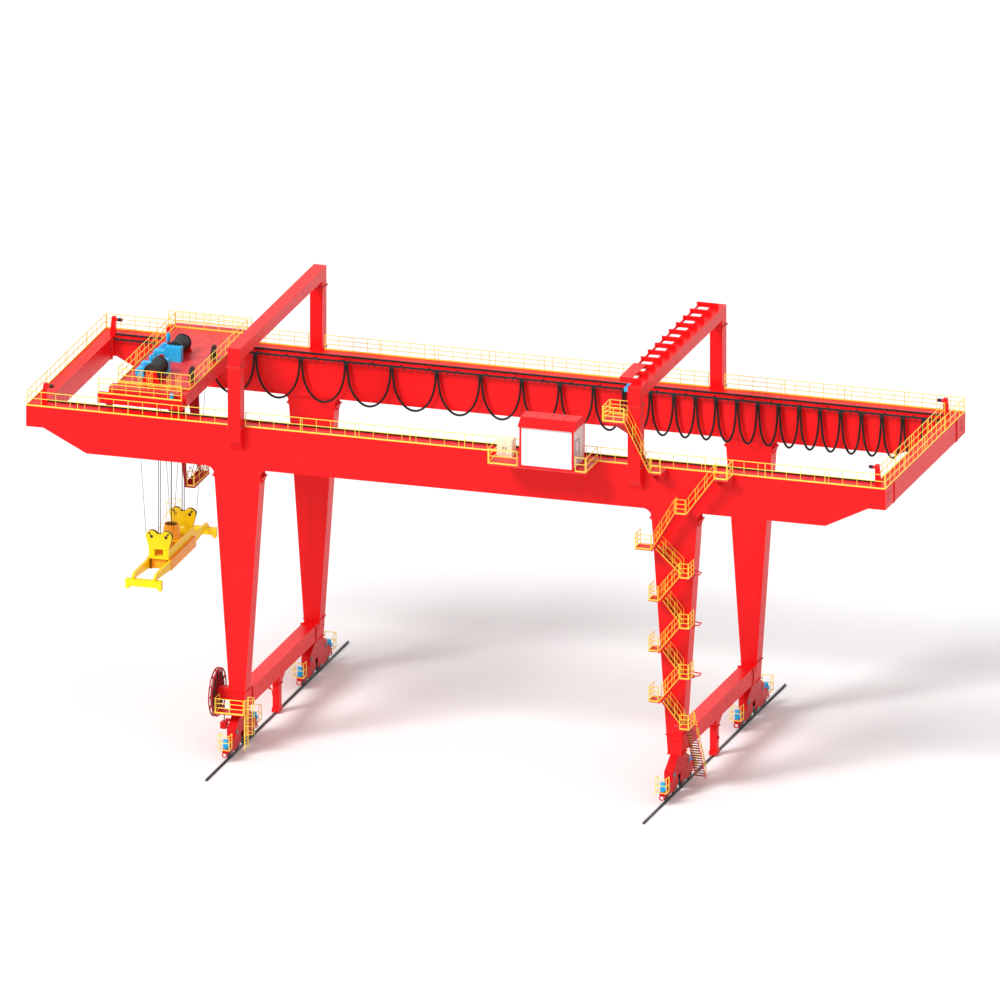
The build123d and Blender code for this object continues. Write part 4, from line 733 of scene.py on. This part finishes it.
def cabinet_fittings():
    """Doors and handles of the walkway cabinet."""
    y = cabinet_low[1]
    middle = (cabinet_low[0] + cabinet_high[0]) / 2
    low, high = cabinet_low[2] + 0.06, cabinet_high[2] - 0.03
    leaves = [slab((a + 0.012, y - 0.014, low), (b - 0.012, y + 0.002, high), 0.006)
              for a, b in ((cabinet_low[0], middle), (middle, cabinet_high[0]))]
    piece("cabinet_doors", joined(leaves), cream, "gantry")
    height = (cabinet_low[2] + cabinet_high[2]) / 2
    knobs = [slab((x - 0.01, y - 0.036, height - 0.05), (x + 0.01, y - 0.01, height + 0.05), 0.005)
             for x in (middle - 0.05, middle + 0.05)]
    piece("cabinet_handles", joined(knobs), black, "gantry")


def stair_rails():
    """Handrails and posts of the steep foot flight, which runs along Y under the lowest landing."""
    top = np.array((0, -half_frame, 2.477))
    foot = np.array((0, -half_frame + 1.25, 0.265))
    surfaces = []
    lift = np.array((0, 0, 0.42))
    share = np.linspace(0, 1, 6)[:, None]
    for x in (7.957, 8.293):
        side = np.array((x, 0, 0))
        surfaces.append(tube([top + side + lift, foot + side + lift], 0.015, 8))
        surfaces.append(tube([top + side + lift / 2, foot + side + lift / 2], 0.011, 8))
        post = tube([(0, 0, 0), (0, 0, 0.42)], 0.012, 6)
        surfaces.append(repeated(post, top + side + share * (foot - top)))
    piece("foot_flight_rails", joined(surfaces), stair_yellow, "gantry")


def ladder_cage():
    """Hoops and straps round the ladder of the reel walkway: half rings about the ladder's line."""
    high = 1.425 + railing_height
    x = -7.17
    y = -half_frame - 0.28
    t = np.linspace(-np.pi / 2, np.pi / 2, 13)
    ring = np.stack([0.2 * np.cos(t) * 1.3, 0.2 * np.sin(t), np.zeros_like(t)], -1) + (x, y, 0)
    hoops = repeated(tube(ring, 0.009, 6), lattice(0, 0, np.linspace(0.75, high, 5)))
    straps = [tube([(px, py, 0.75), (px, py, high)], 0.007, 6) for px, py in ring[1:-1:3, :2]]
    piece("ladder_cage", joined([hoops] + straps), yellow, "gantry")


def reel_feed():
    """Supply cable from the reel's back edge down to a guide box on an arm of the equaliser."""
    centre = (reel_low + reel_high) / 2
    x = centre[0]
    y = centre[1] + 0.7
    share = np.linspace(0, 1, 16)[:, None]
    start, end = np.array((x, y, centre[2])), np.array((x, y + 0.03, 0.68))
    path = start + share * (end - start) + np.array((0, 0.03, 0)) * np.sin(np.pi * share)
    piece("reel_feed_cable", tube(path, 0.018, 8), cable, "gantry")
    guide = [slab((x - 0.11, y - 0.09, 0.46), (x + 0.11, y + 0.15, 0.7), 0.015),
             slab((x + 0.1, y - 0.03, 0.72), (0.15 - half_gauge - 0.29, y + 0.09, 0.8), 0.008),
             slab((x + 0.05, y - 0.03, 0.6), (x + 0.13, y + 0.09, 0.8), 0.008)]
    # The guide takes the darker red that is painted shade, like the equalisers.
    piece("reel_guide", joined(guide), painted_shade_red, "gantry")


def block_fittings():
    """Pin caps and rope slots on the headblock's cheeks, and a guard cage beside the back housing."""
    lobe_z = block_high[2] - 0.2
    cap = [(0.05, 0), (0.05, 0.016), (0.036, 0.026), (0.01, 0.028)]
    slot = plate([(-0.022, 0.06), (0.022, 0.06), (0.03, 0.17), (-0.03, 0.17)], (0, 0, 0), (0.82, 0, -0.57),
                 (0.57, 0, 0.82), (0, 0.003, 0))
    other = mirrored(slot)
    lobes = hoist_x + np.array([-0.25, 0.25])
    cheeks = np.array([-rope_y, rope_y])
    marks = []
    for way in (-1, 1):
        face = cheeks + way * 0.085
        marks.append(repeated(turned(cap, (0, 0, 0), (0, way, 0), 24), lattice(lobes, face, lobe_z)))
        marks.append(repeated(slot, lattice(lobes[1], face - 0.0015, lobe_z)))
        marks.append(repeated(other, lattice(lobes[0], face - 0.0015, lobe_z)))
    piece("sheave_pin_caps", joined(marks), black, "spreader")
    base = basket_low[2] - 0.04
    left, right, near, far, tall = hoist_x - 0.33, hoist_x - 0.02, 0.5, 1.05, 1.05
    post = tube([(0, 0, 0), (0, 0, tall)], 0.009, 6)
    bars = [repeated(post, lattice([left, right], [near, far], base))]
    for z in base + tall * np.array([0.36, 0.68, 0.99]):
        bars += [tube([(left, y, z), (right, y, z)], 0.009, 6) for y in (near, far)]
        bars += [tube([(x, near, z), (x, far, z)], 0.009, 6) for x in (left, right)]
    bars += [tube([(x, -0.45, base + 0.34), (x, near, base + 0.7)], 0.009, 6) for x in (left, right)]
    bars += [tube([(x, -0.45, base), (x, -0.45, base + 0.34)], 0.009, 6) for x in (left, right)]
    bars.append(slab((left - 0.02, near - 0.02, base), (right + 0.32, far + 0.02, base + 0.02), 0.004))
    piece("block_cage", joined(bars), spreader_yellow, "spreader")


def basket_fittings():
    """Rim, hoops and wound cable of the power cable's basket."""
    centre = (basket_low + basket_high) / 2
    foot, head = (basket_high[0] - basket_low[0]) / 2, 0.23
    tall = basket_high[2] - basket_low[2]
    t = np.linspace(0, 2 * np.pi, 41)
    circle = np.stack([np.cos(t), np.sin(t), np.zeros_like(t)], -1)
    hoops = []
    for share in (0.03, 0.35, 0.68, 0.985):
        radius = foot + share * (head - foot) - 0.006
        hoops.append(tube(circle * radius + (centre[0], centre[1], basket_low[2] + share * tall), 0.014, 6))
    piece("basket_hoops", joined(hoops), orange, "spreader")
    spiral_t = np.linspace(0, 12 * np.pi, 240)
    radius = np.linspace(0.19, 0.05, 240)
    spiral = np.stack([centre[0] + radius * np.cos(spiral_t), centre[1] + radius * np.sin(spiral_t),
                       np.full(240, basket_high[2] - 0.06)], -1)
    piece("basket_coil", tube(spiral, 0.014, 6), cable, "spreader")


def hoist_falls():
    """Rope falls and power cable as two-ended tubes between the sheave block and the trolley."""
    low_z, high_z = block_high[2] - 0.2, deck_bottom
    t = np.linspace(0, 2 * np.pi, 8, endpoint=False)
    ring = np.stack([np.cos(t), -np.sin(t), np.zeros_like(t)], -1)

    def falls(foot_x, head_x, radius):
        lines = []
        for y in (-rope_y, rope_y):
            for way in (-1, 1):
                ends = np.array([(hoist_x + way * foot_x, y, low_z), (hoist_x + way * head_x, y, high_z)])
                lines.append(closed_grid(ends[:, None] + radius * ring[None]))
        return joined(lines)

    power = np.array([(hoist_x, 0, basket_high[2] - 0.07), (hoist_x, 0, high_z)])
    for name, surface, material, slot, start in (
            ("rope_falls", falls(0.036, 0.036, 0.014), rope, "rope_wire", low_z),
            ("leaning_ropes", falls(0.464, 0.86, 0.008), brown_rope, "rope_wire", low_z),
            ("power_fall", closed_grid(power[:, None] + 0.016 * ring[None]), cable, "cable_jacket",
             power[0, 2])):
        obj = shaped(name, surface, material)
        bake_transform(obj)
        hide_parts("hoist_ropes")


# Festoon route, repeated from the part's source
festoon_y = 3.51
festoon_clamp = 11.133
festoon_start = -11.05
festoon_end = 13.75
festoon_loops = 24
festoon_wide = 1.58
festoon_narrow = 0.72
festoon_wide_share = 0.146
festoon_narrow_share = 0.542
festoon_sag = 1.3
festoon_width = 0.064
festoon_thickness = 0.08
clamp_half_gap = 0.0375


def spline_points(name, route):
    """Points read from a smooth spline that has the route as its control points."""
    curve = bpy.data.curves.new(name, "CURVE")
    curve.dimensions = "3D"
    curve.resolution_u = 6
    spline = curve.splines.new("NURBS")
    spline.points.add(len(route) - 1)
    spline.points.foreach_set("co", np.c_[np.asarray(route, float), np.ones(len(route))].ravel())
    spline.order_u = 3
    spline.use_endpoint_u = True
    holder = bpy.data.objects.new(name, curve)
    line = bpy.data.meshes.new_from_object(holder)
    points = np.empty(len(line.vertices) * 3)
    line.vertices.foreach_get("co", points)
    bpy.data.objects.remove(holder)
    bpy.data.meshes.remove(line)
    return points.reshape(-1, 3)


def cable_bundle(path):
    """Three-lobed section carried along a path in an X-Z plane: point + a across + b (ahead turned upright)."""
    ahead = unit(np.gradient(path, axis=0))
    across = np.array((0.0, 1.0, 0.0))
    normal = np.cross(ahead, across)
    t = np.linspace(0, 2 * np.pi, 18, endpoint=False)
    swell = 0.9 + 0.1 * np.cos(6 * t)
    a = swell * festoon_width / 2 * np.cos(t)
    b = swell * festoon_thickness / 2 * np.sin(t)
    points = path[:, None] + a[None, :, None] * across - b[None, :, None] * normal[:, None]
    return closed_grid(points)


def festoon_cables():
    """Each hanging loop of cable between two clamps, wide by the parked trolley and narrow further on."""
    share = np.arange(festoon_loops) / festoon_loops - festoon_wide_share
    share = np.clip(share / (festoon_narrow_share - festoon_wide_share), 0, 1)
    widths = festoon_wide + (festoon_narrow - festoon_wide) * share * share * (3 - 2 * share)
    widths *= (festoon_end - festoon_start) / widths.sum()
    places = festoon_start + np.concatenate([[0], np.cumsum(widths)])
    drops = festoon_clamp - festoon_sag * np.array([0, 0.28, 0.76, 1.06, 1.06, 0.76, 0.28, 0])
    reach = np.array([0, 0, 0.11, 0.36, 0.64, 0.89, 1, 1])
    for number, (left, right) in enumerate(zip(places, places[1:])):
        a, b = left + clamp_half_gap, right - clamp_half_gap
        route = np.stack([a + reach * (b - a), np.full(len(reach), festoon_y), drops], -1)
        path = spline_points("festoon_route", route)
        loop = piece(f"festoon_loop_{number:02d}", cable_bundle(path), cable, "gantry")
        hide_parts("festoon_cables")


def track_ribs():
    """Small ribs along the festoon track's inner side and clips along the trolley rails."""
    low, high = corners("festoon_track")
    rib = slab((-0.015, -0.012, -0.1), (0.015, 0.004, 0.035), 0.003)
    places = lattice(np.arange(low[0] + 0.1, high[0] - 0.05, 0.25), low[1] + 0.005, high[2] - 0.03)
    piece("track_ribs", repeated(rib, places), black, "gantry")
    rail_a, rail_b = corners("trolley_rails")
    y = trolley_rail_y
    clip = slab((-0.03, -0.025, 0), (0.03, 0.025, 0.02), 0.005)
    rows = np.array([-y - 0.045, -y + 0.045, y - 0.045, y + 0.045])
    places = lattice(np.arange(rail_a[0] + 0.2, rail_b[0], 0.35), rows, girder_top)
    piece("rail_clips", repeated(clip, places), black, "gantry")


def leg_half(height):
    """Half the leg's width at a height: a straight taper from its foot to its head."""
    return leg_foot_half + (leg_top_half - leg_foot_half) * (height - leg_foot) / (leg_head - leg_foot)


def leg_collars():
    """Level collar and a round manhole cover near the foot of each leg."""
    height = 2.03
    half = leg_half(height)
    cover = [(0.13, -0.002), (0.13, 0.014), (0.115, 0.02), (0.03, 0.02), (0.02, 0.034), (0.005, 0.036)]
    surfaces = []
    for x in (-half_gauge, half_gauge):
        for way in (-1, 1):
            face, back = way * half_frame, way * (half_frame - leg_depth)
            surfaces.append(slab((x - half - 0.04, face, height),
                                 (x + half + 0.04, face + way * 0.04, height + 0.03)))
            for side in (-1, 1):
                surfaces.append(slab((x + side * (half - 0.005), face, height),
                                     (x + side * (half + 0.04), back, height + 0.03)))
            surfaces.append(turned(cover, (x, face, 1.72), (0, way, 0), 28))
    piece("leg_collars", joined(surfaces), red, "gantry")


def stair_brackets():
    """Bent bars from the right-hand landings back to the leg's side: landing corner, bend, leg face."""
    first_landing = girder_top - 2.68
    storey_height = 0.878
    right = half_gauge + 0.705
    bend = right + 0.14
    wall = -half_frame
    bars = []
    for storey in (1, 3, 5, 7):
        z = first_landing - storey_height * storey - 0.06
        bars.append(tube([(right - 0.03, wall - 0.03, z), (bend, wall + 0.05, z), (bend, wall + 0.3, z),
                          (half_gauge + leg_half(z) - 0.01, wall + 0.42, z)], 0.022, 6))
    piece("stair_brackets", joined(bars), red, "gantry")


def buffer_noses():
    """Rubber noses over the buffers at the ends of the trolley track."""
    nose = [(0.058, 0), (0.058, 0.13), (0.05, 0.15), (0.02, 0.152)]
    height = girder_top + 0.54
    y = trolley_rail_y
    tip = buffer_high[0] - 0.18 - 0.22 + 0.15
    surfaces = [repeated(turned(nose, (0, 0, 0), (-way, 0, 0), 24), lattice(way * tip, [-y, y], height))
                for way in (-1, 1)]
    piece("buffer_noses", joined(surfaces), rubber, "gantry")


def portal_winch():
    """Small motor on the side of the right portal beam, lying along it, with its gear head and foot."""
    barrel, faces = finned_motor(0.085, 0.3, 16)
    x, z = right_portal_x - post_half - 0.09, portal_splice + 0.56
    lying = np.stack([x + barrel[:, 0], barrel[:, 2] - 4.62, z - barrel[:, 1]], -1)
    head = slab((x - 0.07, -4.33, z - 0.08), (x + 0.07, -4.2, z + 0.08), 0.012)
    foot = slab((x - 0.07, -4.6, z - 0.1), (x + 0.092, -4.25, z - 0.07), 0.004)
    piece("portal_winch", joined([(lying, faces), head, foot]), blue, "gantry")


def anchor_levers():
    """Hand lever, pivot and weight on the side of each storm anchor."""
    hub = turned([(0.05, 0), (0.05, 0.05), (0.02, 0.054)], (0.12, 0, 0.62), (1, 0, 0), 16)
    lever = tube([(0.15, 0, 0.62), (0.15, -0.12, 0.8), (0.15, -0.3, 0.9)], 0.016, 8)
    weight_profile = [(0.02, 0), (0.045, 0.01), (0.045, 0.09), (0.02, 0.1)]
    weight = turned(weight_profile, (0.15, -0.3, 0.9), (0, -0.87, 0.48), 14)
    right = joined([hub, lever, weight])
    left = mirrored(right)
    levers = joined([repeated(right, [(half_gauge, 0, 0)]), repeated(left, [(-half_gauge, 0, 0)])])
    piece("anchor_levers", levers, red, "gantry")


main_guard_posts()
splice_bolts()
leg_gussets()
drum_rope("front_drum_rope", "front_drum", "front_drum")
drum_rope("back_drum_rope", "back_drum", "back_drum")
rope_sheaves()
travel_drives()
hoist_machinery()
deck_details()
truck_bridges()
platform_braces()
end_splices()
house_fittings()
cabinet_fittings()
stair_rails()
ladder_cage()
reel_feed()
block_fittings()
basket_fittings()
hoist_falls()
festoon_cables()
track_ribs()
leg_collars()
stair_brackets()
buffer_noses()
portal_winch()
anchor_levers()


def studio():
    """Pale floor, white surroundings, a soft key from the front left and above, a weak fill from the right."""
    mesh = bpy.data.meshes.new("studio_floor")
    reach = 400.0
    square = [(-reach, -reach, 0), (reach, -reach, 0), (reach, reach, 0), (-reach, reach, 0)]
    mesh.from_pydata(square, [], [(0, 1, 2, 3)])
    floor = bpy.data.objects.new("studio_floor", mesh)
    bpy.context.scene.collection.objects.link(floor)
    floor.location.z = -0.002
    material, tree, shader = new_material("pale_floor")
    mottle = noise(tree, object_points(tree), 0.08)
    tree.links.new(between(tree, mottle, 0.3, 0.7, 0.8, 0.9), shader.inputs["Roughness"])
    shade = mixed(tree, mottle, (0.86, 0.86, 0.86, 1), (0.88, 0.88, 0.88, 1))
    tree.links.new(shade, shader.inputs["Base Color"])
    shader.inputs["Specular IOR Level"].default_value = 0.0
    mesh.materials.append(material)
    world = bpy.data.worlds.new("studio_world")
    bpy.context.scene.world = world
    world.use_nodes = True
    nodes = world.node_tree
    back = nodes.nodes["Background"]
    path = add(nodes, "LightPath")
    seen = add(nodes, "Math", {0: path.outputs["Is Camera Ray"], 1: path.outputs["Is Glossy Ray"]},
               operation="MAXIMUM")
    nodes.links.new(between(nodes, seen.outputs[0], 0, 1, 0.56, 1.0), back.inputs["Strength"])
    back.inputs["Color"].default_value = (1, 1, 1, 1)
    lamps = (("key", 2.7, 0.35, (-0.42, -0.6, 0.68)), ("fill", 0.42, 1.2, (0.4, -0.35, 0.85)))
    for name, strength, angle, direction in lamps:
        light = bpy.data.lights.new(name, "SUN")
        light.energy = strength
        light.angle = angle
        lamp = bpy.data.objects.new(name, light)
        lamp.rotation_mode = "QUATERNION"
        lamp.rotation_quaternion = Vector(direction).to_track_quat("Z", "Y")
        bpy.context.scene.collection.objects.link(lamp)


def photo_camera():
    """Parallel camera at the photo's angle and scale."""
    azimuth, elevation = np.radians(17.61), np.radians(18.013)
    level = np.cos(elevation)
    back = Vector((np.sin(azimuth) * level, -np.cos(azimuth) * level, np.sin(elevation)))
    data = bpy.data.cameras.new("photo_camera")
    data.type = "ORTHO"
    data.ortho_scale = 33.115
    data.clip_end = 500
    camera = bpy.data.objects.new("photo_camera", data)
    camera.location = Vector((0.1495, 0, 8.142)) + back * 80
    camera.rotation_mode = "QUATERNION"
    camera.rotation_quaternion = (-back).to_track_quat("-Z", "Y")
    bpy.context.scene.collection.objects.link(camera)
    bpy.context.scene.camera = camera


studio()
photo_camera()
bpy.context.scene.view_settings.view_transform = "Standard"
